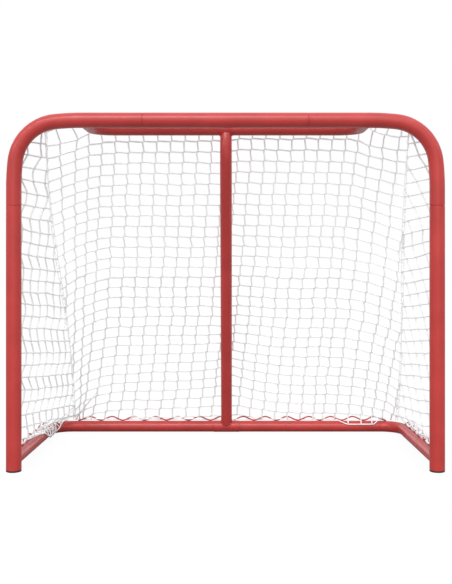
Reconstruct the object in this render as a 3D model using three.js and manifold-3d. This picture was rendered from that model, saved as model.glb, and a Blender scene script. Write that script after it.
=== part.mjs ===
// Street hockey goal: a knock-down frame of round steel tubes with a net tied to it.
// Millimetres. +X right, +Y back, +Z up. The goal mouth faces -Y and the floor is Z = 0.
import * as THREE from 'three';
import { mergeVertices } from 'three/addons/utils/BufferGeometryUtils.js';
import Module from 'manifold-3d';

const wasm = await Module();
wasm.setup();

// Overall size, outside to outside.
const WIDTH = 1370;
const DEPTH = 660;
const HEIGHT = 1120;

// Tubes.
const FRONT_RADIUS = 24;
const FRONT_WALL = 1.2;
const REAR_RADIUS = 20;
const REAR_WALL = 1;
const SLEEVE_RADIUS = 20.75;
const SLEEVE_WALL = 1;
const FRONT_SIDES = 24;
const REAR_SIDES = 20;
const GAP = 0.3;

// Front frame.
const CAP_FLANGE = 4.5;
const CAP_PLUG_LENGTH = 18;
const POST_JOINT_Z = 830;
const CROSSBAR_HALF = 258.5;
const SPIGOT_LENGTH = 50;
const EASE_RADIUS = 800;
const EASE_DEGREES = 6;
const CORNER_RADIUS = 138;

// Top shelf, centre support and base.
const SHELF_HALF_WIDTH = 445;
const SHELF_REACH = 245;
const SHELF_DROP = 4;
const SHELF_BEND_RADIUS = 70;
const SLEEVE_HALF_LENGTH = 49;
const BASE_FRONT_Z = 37;
const BASE_CORNER_X = 649;
const BASE_BEND_RADIUS = 78;
const SUPPORT_LEAN_DEGREES = 21.4;
const SUPPORT_TOP_LEAN_DEGREES = 20;
const SUPPORT_TOP_OFFSET = 4.5;
const SUPPORT_BEND_RADIUS = 140;
const STUB_LENGTH = 62;

// Bolts.
const BOLT_RADIUS = 3;
const BOLT_LENGTH = 14;
const BOLT_FLANGE_RADIUS = 7;
const BOLT_FLANGE_HEIGHT = 1.4;
const BOLT_HEX_RADIUS = 5.8;
const BOLT_HEAD_HEIGHT = 5;

// Wavy rods that the net is laced to.
const ROD_RADIUS = 2.5;
const ROD_PITCH = 82;
const ROD_LIFT = 13;
const ROD_STEPS_PER_WAVE = 4;
const ROD_SIDES = 6;
const ROD_LEAN_DEGREES = 15;
const REAR_ROD_LEFT = { outer: 551.8, inner: 14, waves: 6.575 };
const REAR_ROD_RIGHT = { outer: 594.2, inner: 28, waves: 6.922 };

// Net.
const NET_THICKNESS = 3;
const NET_CLEARANCE = 2;
const ROPE_RADIUS = 2.5;
const ROPE_SIDES = 6;
const ROPE_OFFSET = 8;
const ROPE_HEIGHT = 6;
const POST_ROPE_STEPS = 36;
const SEAM_TOP_X = 566;
const SEAM_TOP_Z = 1034;
const SEAM_FOOT_LEFT = { x: 567, forward: -10 };
const SEAM_FOOT_RIGHT = { x: 628, forward: 22 };
const SHEET_INSET = 0.06;

// Places worked out from the sizes above.
const POST_X = WIDTH / 2 - FRONT_RADIUS;
const FRONT_Y = -DEPTH / 2 + FRONT_RADIUS;
const BOLT_STAND_OUT = GAP + BOLT_HEAD_HEIGHT;
const BAR_Y = DEPTH / 2 - SLEEVE_RADIUS - BOLT_STAND_OUT;
const BAR_Z = SLEEVE_RADIUS;
const CROSSBAR_Z = HEIGHT - FRONT_RADIUS;
const SHELF_Y = FRONT_Y + SHELF_REACH;
const SHELF_Z = CROSSBAR_Z - SHELF_DROP;
const FRONT_SPIGOT_RADIUS = FRONT_RADIUS - FRONT_WALL - GAP;
const REAR_SPIGOT_RADIUS = SLEEVE_RADIUS - SLEEVE_WALL - GAP;
const STUB_RADIUS = REAR_RADIUS - REAR_WALL - GAP;
const ROD_CREST = ROD_RADIUS * 2 + ROD_LIFT + GAP;

const SIDES = [
  { name: 'left', sign: -1, seamFoot: SEAM_FOOT_LEFT, rearRod: REAR_ROD_LEFT },
  { name: 'right', sign: 1, seamFoot: SEAM_FOOT_RIGHT, rearRod: REAR_ROD_RIGHT },
];
const X_AXIS = new THREE.Vector3(1, 0, 0);
const Y_AXIS = new THREE.Vector3(0, 1, 0);
const Z_AXIS = new THREE.Vector3(0, 0, 1);

// Materials.
const paint = () => new THREE.MeshStandardMaterial({ color: 0xb8352f, roughness: 0.32, metalness: 0.1 });
const zinc = () => new THREE.MeshStandardMaterial({ color: 0xb9bbbd, roughness: 0.35, metalness: 0.9 });
const blackPlastic = () => new THREE.MeshStandardMaterial({ color: 0x1b1b1c, roughness: 0.55, metalness: 0 });
const twine = () => new THREE.MeshStandardMaterial({ color: 0xe9e9e4, roughness: 0.85, metalness: 0 });

const goal = new THREE.Group();

function vector(x, y, z) {
  return new THREE.Vector3(x, y, z);
}

function add(name, geometry, material) {
  const mesh = new THREE.Mesh(geometry, material);
  mesh.name = name;
  goal.add(mesh);
  return mesh;
}

// A route of straights and round bends. It has a station only where a tube needs a section.
class Route extends THREE.Curve {
  constructor(start, heading) {
    super();
    this.stations = [{ point: start.clone(), tangent: heading.clone().normalize() }];
  }

  straight(length) {
    const { point, tangent } = this.stations.at(-1);
    this.stations.push({ point: point.clone().addScaledVector(tangent, length), tangent: tangent.clone() });
    return this;
  }

  // Turns the heading about the axis by the angle, on the given radius.
  bend(degrees, radius, axis, steps) {
    const { point, tangent } = this.stations.at(-1);
    const angle = THREE.MathUtils.degToRad(degrees);
    const towardCentre = axis.clone().cross(tangent).normalize().multiplyScalar(Math.sign(angle));
    const centre = point.clone().addScaledVector(towardCentre, radius);
    const arm = point.clone().sub(centre);
    for (let step = 1; step <= steps; step += 1) {
      const turned = (angle * step) / steps;
      this.stations.push({
        point: arm.clone().applyAxisAngle(axis, turned).add(centre),
        tangent: tangent.clone().applyAxisAngle(axis, turned),
      });
    }
    return this;
  }

  getPoint(t) {
    return this.stations[Math.round(t * (this.stations.length - 1))].point.clone();
  }

  getPointAt(u) {
    return this.getPoint(u);
  }

  getTangent(t) {
    return this.stations[Math.round(t * (this.stations.length - 1))].tangent.clone();
  }

  getTangentAt(u) {
    return this.getTangent(u);
  }

  // The point and heading at a distance along the route.
  along(distance) {
    let left = distance;
    for (let index = 1; index < this.stations.length; index += 1) {
      const from = this.stations[index - 1];
      const to = this.stations[index];
      const length = from.point.distanceTo(to.point);
      if (left <= length || index === this.stations.length - 1) {
        const share = left / length;
        return {
          point: from.point.clone().lerp(to.point, share),
          tangent: from.tangent.clone().lerp(to.tangent, share).normalize(),
        };
      }
      left -= length;
    }
    return null;
  }
}

// A route through given points, headed at each one from the point before to the point after.
function routeThrough(points) {
  const route = new Route(points[0], vector(0, 0, 1));
  route.stations = points.map((point, index) => {
    const before = points[Math.max(index - 1, 0)];
    const after = points[Math.min(index + 1, points.length - 1)];
    return { point: point.clone(), tangent: after.clone().sub(before).normalize() };
  });
  return route;
}

// A round bar, or with an inner radius an open-ended tube, along a route.
function sweep(route, radius, sides, innerRadius = 0) {
  const section = new THREE.Shape();
  section.absarc(0, 0, radius, 0, 2 * Math.PI);
  if (innerRadius > 0) {
    const hole = new THREE.Path();
    hole.absarc(0, 0, innerRadius, 0, 2 * Math.PI, true);
    section.holes.push(hole);
  }
  return new THREE.ExtrudeGeometry(section, {
    extrudePath: route,
    steps: route.stations.length - 1,
    curveSegments: sides / 2,
    bevelEnabled: false,
  });
}

function toSolid(geometry) {
  const bare = geometry.clone();
  bare.deleteAttribute('normal');
  bare.deleteAttribute('uv');
  const merged = mergeVertices(bare, 1e-3);
  return new wasm.Manifold(new wasm.Mesh({
    numProp: 3,
    vertProperties: Float32Array.from(merged.attributes.position.array),
    triVerts: Uint32Array.from(merged.index.array),
  }));
}

function toGeometry(solid) {
  const mesh = solid.getMesh();
  const geometry = new THREE.BufferGeometry();
  geometry.setAttribute('position', new THREE.BufferAttribute(mesh.vertProperties, 3));
  geometry.setIndex(new THREE.BufferAttribute(mesh.triVerts, 1));
  geometry.computeVertexNormals();
  return geometry;
}

function cutFrom(geometry, tools) {
  let solid = toSolid(geometry);
  for (const tool of tools) {
    solid = solid.subtract(toSolid(tool));
  }
  return toGeometry(solid);
}

function joinTo(geometry, extras) {
  let solid = toSolid(geometry);
  for (const extra of extras) {
    solid = solid.add(toSolid(extra));
  }
  return toGeometry(solid);
}

function straightRoute(from, to) {
  return new Route(from, to.clone().sub(from)).straight(from.distanceTo(to));
}

// The routes of the tube axes.
function cornerRoute(side, easeSteps, bendSteps) {
  const turn = side.sign * -1;
  const easeSin = Math.sin(THREE.MathUtils.degToRad(EASE_DEGREES));
  const easeCos = Math.cos(THREE.MathUtils.degToRad(EASE_DEGREES));
  const reach = EASE_RADIUS * (easeSin + 1 - easeCos) + CORNER_RADIUS * (easeCos - easeSin);
  return new Route(vector(side.sign * POST_X, FRONT_Y, POST_JOINT_Z + GAP), Z_AXIS)
    .straight(CROSSBAR_Z - reach - POST_JOINT_Z - GAP)
    .bend(turn * EASE_DEGREES, EASE_RADIUS, Y_AXIS, easeSteps)
    .bend(turn * (90 - 2 * EASE_DEGREES), CORNER_RADIUS, Y_AXIS, bendSteps)
    .bend(turn * EASE_DEGREES, EASE_RADIUS, Y_AXIS, easeSteps)
    .straight(POST_X - reach - CROSSBAR_HALF - GAP);
}

function shelfRoute(steps) {
  const tilt = Math.atan2(SHELF_DROP, SHELF_REACH);
  const back = vector(0, Math.cos(tilt), -Math.sin(tilt));
  const up = vector(0, Math.sin(tilt), Math.cos(tilt));
  const reach = Math.hypot(SHELF_DROP, SHELF_REACH);
  return new Route(vector(-SHELF_HALF_WIDTH, FRONT_Y, CROSSBAR_Z), back)
    .straight(reach - SHELF_BEND_RADIUS)
    .bend(-90, SHELF_BEND_RADIUS, up, steps)
    .straight(2 * (SHELF_HALF_WIDTH - SHELF_BEND_RADIUS))
    .bend(-90, SHELF_BEND_RADIUS, up, steps)
    .straight(reach - SHELF_BEND_RADIUS);
}

function baseRoute(side, steps) {
  const start = vector(side.sign * POST_X, FRONT_Y, BASE_FRONT_Z);
  const corner = vector(side.sign * BASE_CORNER_X, BAR_Y, BAR_Z);
  const heading = corner.clone().sub(start).normalize();
  const inward = vector(-side.sign, 0, 0);
  const axis = heading.clone().cross(inward).normalize();
  const turn = heading.angleTo(inward);
  const tangentLength = BASE_BEND_RADIUS * Math.tan(turn / 2);
  return new Route(start, heading)
    .straight(start.distanceTo(corner) - tangentLength)
    .bend(THREE.MathUtils.radToDeg(turn), BASE_BEND_RADIUS, axis, steps)
    .straight(BASE_CORNER_X - tangentLength - SLEEVE_HALF_LENGTH - GAP);
}

function supportRoute(steps) {
  const lean = THREE.MathUtils.degToRad(SUPPORT_LEAN_DEGREES);
  const topLean = THREE.MathUtils.degToRad(SUPPORT_TOP_LEAN_DEGREES);
  const foot = vector(0, BAR_Y, BAR_Z);
  const top = vector(0, SHELF_Y + SUPPORT_TOP_OFFSET, SHELF_Z);
  const rise = (foot.y - top.y + (top.z - foot.z) * Math.tan(topLean)) / (Math.tan(lean) + Math.tan(topLean));
  const knee = vector(0, foot.y - rise * Math.tan(lean), foot.z + rise);
  const turn = SUPPORT_LEAN_DEGREES + SUPPORT_TOP_LEAN_DEGREES;
  const tangentLength = SUPPORT_BEND_RADIUS * Math.tan(THREE.MathUtils.degToRad(turn / 2));
  return new Route(foot, knee.clone().sub(foot))
    .straight(foot.distanceTo(knee) - tangentLength)
    .bend(-turn, SUPPORT_BEND_RADIUS, X_AXIS, steps)
    .straight(knee.distanceTo(top) - tangentLength);
}

const corners = SIDES.map((side) => cornerRoute(side, 2, 9));
const shelf = shelfRoute(6);
const bases = SIDES.map((side) => baseRoute(side, 6));
const support = supportRoute(5);

// A bolt that enters a tube from outside. The place is on the tube's axis, the way points out.
const bolts = [];

function planBolt(name, onAxis, way, tubeRadius) {
  const bolt = { name, onAxis: onAxis.clone(), way: way.clone().normalize(), seat: tubeRadius + GAP };
  bolts.push(bolt);
  return bolt;
}

function turnedTo(geometry, way, origin) {
  const turn = new THREE.Quaternion().setFromUnitVectors(Z_AXIS, way);
  return geometry.applyQuaternion(turn).translate(origin.x, origin.y, origin.z);
}

function boltHole(bolt) {
  const depth = 2 * BOLT_LENGTH;
  const drill = new THREE.CylinderGeometry(BOLT_RADIUS + GAP, BOLT_RADIUS + GAP, depth, 12);
  drill.rotateX(Math.PI / 2);
  drill.translate(0, 0, bolt.seat);
  return turnedTo(drill, bolt.way, bolt.onAxis);
}

function boltGeometry(bolt) {
  const body = new THREE.LatheGeometry([
    new THREE.Vector2(0, -BOLT_LENGTH),
    new THREE.Vector2(BOLT_RADIUS, -BOLT_LENGTH),
    new THREE.Vector2(BOLT_RADIUS, 0),
    new THREE.Vector2(BOLT_FLANGE_RADIUS, 0),
    new THREE.Vector2(BOLT_FLANGE_RADIUS, BOLT_FLANGE_HEIGHT),
    new THREE.Vector2(0, BOLT_FLANGE_HEIGHT),
  ], 12);
  const hex = new THREE.CylinderGeometry(BOLT_HEX_RADIUS, BOLT_HEX_RADIUS, BOLT_HEAD_HEIGHT, 6);
  hex.translate(0, BOLT_HEAD_HEIGHT / 2, 0);
  const whole = joinTo(body, [hex]);
  whole.rotateX(Math.PI / 2);
  whole.translate(0, 0, bolt.seat);
  return turnedTo(whole, bolt.way, bolt.onAxis);
}

// The revolved wall of a tube with one narrowed spigot at its far end, from the start to the joint.
function spigotProfile(start, joint) {
  const inner = FRONT_RADIUS - FRONT_WALL;
  const spigotInner = FRONT_SPIGOT_RADIUS - FRONT_WALL;
  return [
    [inner, start],
    [FRONT_RADIUS, start],
    [FRONT_RADIUS, joint],
    [FRONT_SPIGOT_RADIUS, joint],
    [FRONT_SPIGOT_RADIUS, joint + SPIGOT_LENGTH],
    [spigotInner, joint + SPIGOT_LENGTH],
    [spigotInner, joint - FRONT_WALL],
    [inner, joint - SPIGOT_LENGTH / 5],
    [inner, start],
  ].map(([radius, height]) => new THREE.Vector2(radius, height));
}

function buildFrontFrame() {
  SIDES.forEach((side, index) => {
    const x = side.sign * POST_X;
    const postBolt = planBolt(
      `post_joint_bolt_${side.name}`,
      vector(x, FRONT_Y, POST_JOINT_Z + SPIGOT_LENGTH / 2),
      Y_AXIS,
      FRONT_RADIUS,
    );
    const barBolt = planBolt(
      `crossbar_joint_bolt_${side.name}`,
      vector(side.sign * (CROSSBAR_HALF + SPIGOT_LENGTH / 2), FRONT_Y, CROSSBAR_Z),
      Y_AXIS,
      FRONT_RADIUS,
    );
    const post = new THREE.LatheGeometry(spigotProfile(CAP_FLANGE + GAP, POST_JOINT_Z), FRONT_SIDES);
    post.rotateX(Math.PI / 2);
    post.translate(x, FRONT_Y, 0);
    add(`post_${side.name}`, cutFrom(post, [boltHole(postBolt)]), paint());

    const corner = sweep(corners[index], FRONT_RADIUS, FRONT_SIDES, FRONT_RADIUS - FRONT_WALL);
    add(`corner_tube_${side.name}`, cutFrom(corner, [boltHole(postBolt), boltHole(barBolt)]), paint());

    const cap = new THREE.LatheGeometry([
      new THREE.Vector2(0, 0),
      new THREE.Vector2(FRONT_RADIUS, 0),
      new THREE.Vector2(FRONT_RADIUS, CAP_FLANGE),
      new THREE.Vector2(FRONT_SPIGOT_RADIUS, CAP_FLANGE),
      new THREE.Vector2(FRONT_SPIGOT_RADIUS, CAP_FLANGE + CAP_PLUG_LENGTH),
      new THREE.Vector2(0, CAP_FLANGE + CAP_PLUG_LENGTH),
    ], FRONT_SIDES);
    cap.rotateX(Math.PI / 2);
    cap.translate(x, FRONT_Y, 0);
    add(`post_cap_${side.name}`, cap, blackPlastic());
  });

  // The crossbar has a spigot at both ends, so it is one half joined to its mirror image.
  const halfProfile = spigotProfile(0, CROSSBAR_HALF);
  const otherHalf = halfProfile.map((point) => new THREE.Vector2(point.x, -point.y)).reverse();
  const bar = joinTo(
    new THREE.LatheGeometry(halfProfile, FRONT_SIDES),
    [new THREE.LatheGeometry(otherHalf, FRONT_SIDES)],
  );
  bar.rotateZ(Math.PI / 2);
  bar.translate(0, FRONT_Y, CROSSBAR_Z);
  const barHoles = bolts.filter((bolt) => bolt.name.startsWith('crossbar')).map(boltHole);
  add('crossbar', cutFrom(bar, barHoles), paint());
}

function buildShelf() {
  const holes = [];
  SIDES.forEach((side, index) => {
    const root = vector(side.sign * SHELF_HALF_WIDTH, FRONT_Y, CROSSBAR_Z);
    const back = shelf.stations[0].tangent;
    const bolt = planBolt(
      `shelf_bolt_${side.name}`,
      root.clone().addScaledVector(back, FRONT_RADIUS + STUB_LENGTH / 2),
      vector(-side.sign, 0, 0),
      REAR_RADIUS,
    );
    holes.push(boltHole(bolt));
    const tip = root.clone().addScaledVector(back, FRONT_RADIUS + STUB_LENGTH);
    const stub = sweep(straightRoute(root, tip), STUB_RADIUS, REAR_SIDES, STUB_RADIUS - REAR_WALL);
    const corner = sweep(corners[index], FRONT_RADIUS + GAP, FRONT_SIDES);
    add(`shelf_stub_${side.name}`, cutFrom(stub, [corner, boltHole(bolt)]), paint());
    holes.push(corner);
  });
  const hoop = sweep(shelf, REAR_RADIUS, REAR_SIDES, REAR_RADIUS - REAR_WALL);
  add('shelf_hoop', cutFrom(hoop, holes), paint());
}

function buildBase() {
  SIDES.forEach((side, index) => {
    const route = bases[index];
    const { point: root, tangent: heading } = route.stations[0];
    const outward = vector(side.sign, 0, 0).addScaledVector(heading, -heading.x * side.sign).normalize();
    const sideBolt = planBolt(
      `base_bolt_${side.name}`,
      root.clone().addScaledVector(heading, FRONT_RADIUS + STUB_LENGTH / 2),
      outward,
      REAR_RADIUS,
    );
    const sleeveBolt = planBolt(
      `sleeve_bolt_${side.name}`,
      vector((side.sign * SLEEVE_HALF_LENGTH) / 2, BAR_Y, BAR_Z),
      Y_AXIS,
      SLEEVE_RADIUS,
    );
    const post = sweep(
      straightRoute(vector(root.x, FRONT_Y, 0), vector(root.x, FRONT_Y, POST_JOINT_Z)),
      FRONT_RADIUS + GAP,
      FRONT_SIDES,
    );
    const tip = root.clone().addScaledVector(heading, FRONT_RADIUS + STUB_LENGTH);
    const stub = sweep(straightRoute(root, tip), STUB_RADIUS, REAR_SIDES, STUB_RADIUS - REAR_WALL);
    add(`base_stub_${side.name}`, cutFrom(stub, [post, boltHole(sideBolt)]), paint());

    const tube = sweep(route, REAR_RADIUS, REAR_SIDES, REAR_RADIUS - REAR_WALL);
    const spigotStart = vector(side.sign * (SLEEVE_HALF_LENGTH + 3 * REAR_WALL), BAR_Y, BAR_Z);
    const spigotEnd = vector(side.sign, BAR_Y, BAR_Z);
    const spigot = sweep(
      straightRoute(spigotStart, spigotEnd),
      REAR_SPIGOT_RADIUS,
      REAR_SIDES,
      REAR_SPIGOT_RADIUS - REAR_WALL,
    );
    const swaged = joinTo(tube, [spigot]);
    add(
      `base_tube_${side.name}`,
      cutFrom(swaged, [post, boltHole(sideBolt), boltHole(sleeveBolt)]),
      paint(),
    );
  });
  const sleeveRoute = straightRoute(
    vector(-SLEEVE_HALF_LENGTH, BAR_Y, BAR_Z),
    vector(SLEEVE_HALF_LENGTH, BAR_Y, BAR_Z),
  );
  const sleeve = sweep(sleeveRoute, SLEEVE_RADIUS, REAR_SIDES, SLEEVE_RADIUS - SLEEVE_WALL);
  const sleeveHoles = bolts.filter((bolt) => bolt.name.startsWith('sleeve')).map(boltHole);
  add('support_sleeve', cutFrom(sleeve, sleeveHoles), paint());

  const supportTube = sweep(support, REAR_RADIUS, REAR_SIDES, REAR_RADIUS - REAR_WALL);
  const sleeveClearance = sweep(sleeveRoute, SLEEVE_RADIUS + GAP, REAR_SIDES);
  const shelfBarPart = straightRoute(
    vector(-SLEEVE_HALF_LENGTH, SHELF_Y, SHELF_Z),
    vector(SLEEVE_HALF_LENGTH, SHELF_Y, SHELF_Z),
  );
  const shelfClearance = sweep(shelfBarPart, REAR_RADIUS + GAP, REAR_SIDES);
  add('centre_support', cutFrom(supportTube, [sleeveClearance, shelfClearance]), paint());
}

function buildBolts() {
  for (const bolt of bolts) {
    add(bolt.name, boltGeometry(bolt), zinc());
  }
}

function routeLength(route) {
  return route.stations.reduce((sum, station, index) => (
    index === 0 ? 0 : sum + station.point.distanceTo(route.stations[index - 1].point)
  ), 0);
}

function wholeWaves(length) {
  return Math.max(1, Math.round(length / ROD_PITCH));
}

// A rod that waves away from a tube and back to it, between two distances along the tube's route.
// It starts against the tube, and its last wave may be cut short.
function waveRod(route, from, to, tubeRadius, outwardAt, waves = wholeWaves(to - from)) {
  const steps = Math.ceil(waves * ROD_STEPS_PER_WAVE);
  const points = [];
  for (let step = 0; step <= steps; step += 1) {
    const wave = Math.min(step / ROD_STEPS_PER_WAVE, waves);
    const { point, tangent } = route.along(from + ((to - from) * wave) / waves);
    const lift = (ROD_LIFT * (1 - Math.cos(2 * Math.PI * wave))) / 2;
    const outward = outwardAt(tangent);
    points.push(point.addScaledVector(outward, tubeRadius + ROD_RADIUS + GAP + lift));
  }
  return sweep(routeThrough(points), ROD_RADIUS, ROD_SIDES);
}

// A rope beside the rods, on the side of them that faces out of the goal.
function besideRods(route, from, to, steps, tubeRadius, outwardAt, turn) {
  const points = [];
  for (let step = 0; step <= steps; step += 1) {
    const { point, tangent } = route.along(from + ((to - from) * step) / steps);
    const outward = outwardAt(tangent);
    const aside = tangent.clone().cross(outward).normalize();
    point.addScaledVector(outward, tubeRadius + ROD_RADIUS + GAP + ROPE_HEIGHT);
    points.push(point.addScaledVector(aside, turn * ROPE_OFFSET));
  }
  return sweep(routeThrough(points), ROPE_RADIUS, ROPE_SIDES);
}

// The rods stand on the back of the front frame, and on top of the base, leaning out of the goal.
function buildRodsAndRopes() {
  const backward = () => Y_AXIS;
  const lean = THREE.MathUtils.degToRad(ROD_LEAN_DEGREES);
  const backAndUp = () => vector(0, Math.sin(lean), Math.cos(lean));
  const jointRoom = BOLT_FLANGE_RADIUS + 2 * ROD_RADIUS;
  SIDES.forEach((side, index) => {
    const postRoute = straightRoute(
      vector(side.sign * POST_X, FRONT_Y, 0),
      vector(side.sign * POST_X, FRONT_Y, POST_JOINT_Z),
    );
    const postEnd = POST_JOINT_Z - ROD_RADIUS;
    add(`post_rod_${side.name}`, waveRod(postRoute, ROD_PITCH, postEnd, FRONT_RADIUS, backward), paint());

    const fine = cornerRoute(side, 8, 24);
    const total = routeLength(fine);
    const armDistance = total - (SHELF_HALF_WIDTH - CROSSBAR_HALF);
    const armRoom = REAR_RADIUS + 2 * ROD_RADIUS;
    const jointDistance = SPIGOT_LENGTH / 2 + jointRoom;
    add(
      `corner_rod_${side.name}`,
      waveRod(fine, jointDistance, armDistance - armRoom, FRONT_RADIUS, backward),
      paint(),
    );
    add(
      `shelf_rod_${side.name}`,
      waveRod(fine, armDistance + armRoom, total - jointDistance, FRONT_RADIUS, backward),
      paint(),
    );

    const wholePost = new Route(vector(side.sign * POST_X, FRONT_Y, 0), Z_AXIS);
    wholePost.stations.push(...fine.stations);
    add(
      `border_rope_post_${side.name}`,
      besideRods(
        wholePost,
        ROD_PITCH,
        POST_JOINT_Z + armDistance - armRoom,
        POST_ROPE_STEPS,
        FRONT_RADIUS,
        backward,
        -side.sign,
      ),
      twine(),
    );

    const base = baseRoute(side, 12);
    const sideLength = base.stations[0].point.distanceTo(base.stations[1].point);
    const outAndUp = (tangent) => {
      const out = vector(side.sign, 0, 0).addScaledVector(tangent, -tangent.x * side.sign).normalize();
      return Z_AXIS.clone().multiplyScalar(Math.cos(lean)).addScaledVector(out, Math.sin(lean));
    };
    add(
      `side_rod_${side.name}`,
      waveRod(base, FRONT_RADIUS + ROD_PITCH / 2, sideLength, REAR_RADIUS, outAndUp),
      paint(),
    );
    add(
      `border_rope_side_${side.name}`,
      besideRods(base, FRONT_RADIUS + ROD_PITCH / 2, sideLength, 1, REAR_RADIUS, outAndUp, side.sign),
      twine(),
    );
    const { outer, inner, waves } = side.rearRod;
    const barRoute = straightRoute(
      vector(side.sign * outer, BAR_Y, BAR_Z),
      vector(side.sign * inner, BAR_Y, BAR_Z),
    );
    const barRod = waveRod(barRoute, 0, outer - inner, REAR_RADIUS, backAndUp, waves);
    add(`rear_rod_${side.name}`, barRod, paint());
  });
  const crossbarRoute = straightRoute(
    vector(-CROSSBAR_HALF, FRONT_Y, CROSSBAR_Z),
    vector(CROSSBAR_HALF, FRONT_Y, CROSSBAR_Z),
  );
  const crossbarEnd = 2 * CROSSBAR_HALF - ROD_RADIUS;
  add('crossbar_rod', waveRod(crossbarRoute, ROD_RADIUS, crossbarEnd, FRONT_RADIUS, backward), paint());

  const armInside = SHELF_HALF_WIDTH - REAR_RADIUS - ROD_RADIUS;
  const betweenArms = straightRoute(
    vector(-armInside, FRONT_Y, CROSSBAR_Z),
    vector(armInside, FRONT_Y, CROSSBAR_Z),
  );
  add(
    'border_rope_crossbar',
    besideRods(betweenArms, 0, 2 * armInside, 1, FRONT_RADIUS, backward, 1),
    twine(),
  );
  const rearHalf = BASE_CORNER_X - BASE_BEND_RADIUS;
  const rearBar = straightRoute(vector(-rearHalf, BAR_Y, BAR_Z), vector(rearHalf, BAR_Y, BAR_Z));
  add(
    'border_rope_rear',
    besideRods(rearBar, 0, 2 * rearHalf, 1, SLEEVE_RADIUS, backAndUp, -1),
    twine(),
  );
}

// A flat sheet through three or four corners, a net's thickness towards the outside of the goal.
function sheet(cornersOut, outsidePoint) {
  const origin = cornersOut[0];
  const along = cornersOut[1].clone().sub(origin).normalize();
  let normal = along.clone().cross(cornersOut[2].clone().sub(origin)).normalize();
  if (normal.dot(outsidePoint.clone().sub(origin)) < 0) {
    normal = normal.negate();
  }
  const across = normal.clone().cross(along);
  const outline = new THREE.Shape(cornersOut.map((corner) => {
    const offset = corner.clone().sub(origin);
    return new THREE.Vector2(offset.dot(along), offset.dot(across));
  }));
  const geometry = new THREE.ExtrudeGeometry(outline, { depth: NET_THICKNESS, bevelEnabled: false });
  const frame = new THREE.Matrix4().makeBasis(along, across, normal).setPosition(origin);
  return geometry.applyMatrix4(frame);
}

// Moves the corners of a sheet towards its middle, to keep it off its neighbours.
function inset(cornersIn, share) {
  const middle = vector(0, 0, 0);
  cornersIn.forEach((corner) => middle.addScaledVector(corner, 1 / cornersIn.length));
  return cornersIn.map((corner) => corner.clone().lerp(middle, share));
}

function buildNet() {
  const rodSpan = FRONT_RADIUS + ROD_CREST + NET_CLEARANCE;
  const netTopZ = CROSSBAR_Z + REAR_RADIUS + NET_CLEARANCE / 2;
  const shelfBackY = SHELF_Y + REAR_RADIUS + NET_CLEARANCE;
  const footY = BAR_Y + REAR_RADIUS / 2;
  const footZ = BAR_Z + REAR_RADIUS + ROD_CREST + NET_CLEARANCE;
  const farBack = vector(0, DEPTH, HEIGHT);

  const topFrontY = FRONT_Y + rodSpan;
  add('net_top_panel', sheet([
    vector(-SHELF_HALF_WIDTH, topFrontY, netTopZ),
    vector(SHELF_HALF_WIDTH, topFrontY, netTopZ),
    vector(SHELF_HALF_WIDTH, SHELF_Y, netTopZ),
    vector(-SHELF_HALF_WIDTH, SHELF_Y, netTopZ),
  ], vector(0, 0, 2 * HEIGHT)), twine());

  add('net_back_panel', sheet([
    vector(-SHELF_HALF_WIDTH, shelfBackY, SHELF_Z),
    vector(SHELF_HALF_WIDTH, shelfBackY, SHELF_Z),
    vector(SEAM_FOOT_RIGHT.x - 2 * REAR_RADIUS, footY, footZ),
    vector(-SEAM_FOOT_LEFT.x + REAR_RADIUS / 2, footY, footZ),
  ], farBack), twine());

  SIDES.forEach((side) => {
    const out = vector(side.sign * 2 * WIDTH, DEPTH, 2 * HEIGHT);
    const shelfCorner = vector(side.sign * (SHELF_HALF_WIDTH + REAR_RADIUS), shelfBackY, SHELF_Z);
    const armFront = vector(side.sign * (SHELF_HALF_WIDTH + REAR_RADIUS), topFrontY, netTopZ);
    const seamTop = vector(side.sign * SEAM_TOP_X, topFrontY, SEAM_TOP_Z);
    const seamFoot = vector(side.sign * side.seamFoot.x, BAR_Y - side.seamFoot.forward, footZ);
    const postTop = vector(side.sign * POST_X, topFrontY, POST_JOINT_Z);
    const postFoot = vector(side.sign * POST_X, topFrontY, BASE_FRONT_Z + REAR_RADIUS + ROD_CREST);
    const pieces = [
      { name: 'net_shoulder', corners: [armFront, shelfCorner, seamTop] },
      { name: 'net_flank', corners: [shelfCorner, seamTop, seamFoot] },
      { name: 'net_side_upper', corners: [postTop, seamTop, seamFoot] },
      { name: 'net_side', corners: [postFoot, postTop, seamFoot] },
    ];
    for (const piece of pieces) {
      add(`${piece.name}_${side.name}`, sheet(inset(piece.corners, SHEET_INSET), out), twine());
    }
    const seam = straightRoute(seamTop, seamFoot);
    add(`net_seam_${side.name}`, sweep(seam, ROPE_RADIUS, ROPE_SIDES), twine());
  });
}

buildFrontFrame();
buildShelf();
buildBase();
buildBolts();
buildRodsAndRopes();
buildNet();

export default goal;
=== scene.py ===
"""Street hockey goal: painted steel tubes, zinc bolts, plastic caps and a laced white net."""

import math

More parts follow.
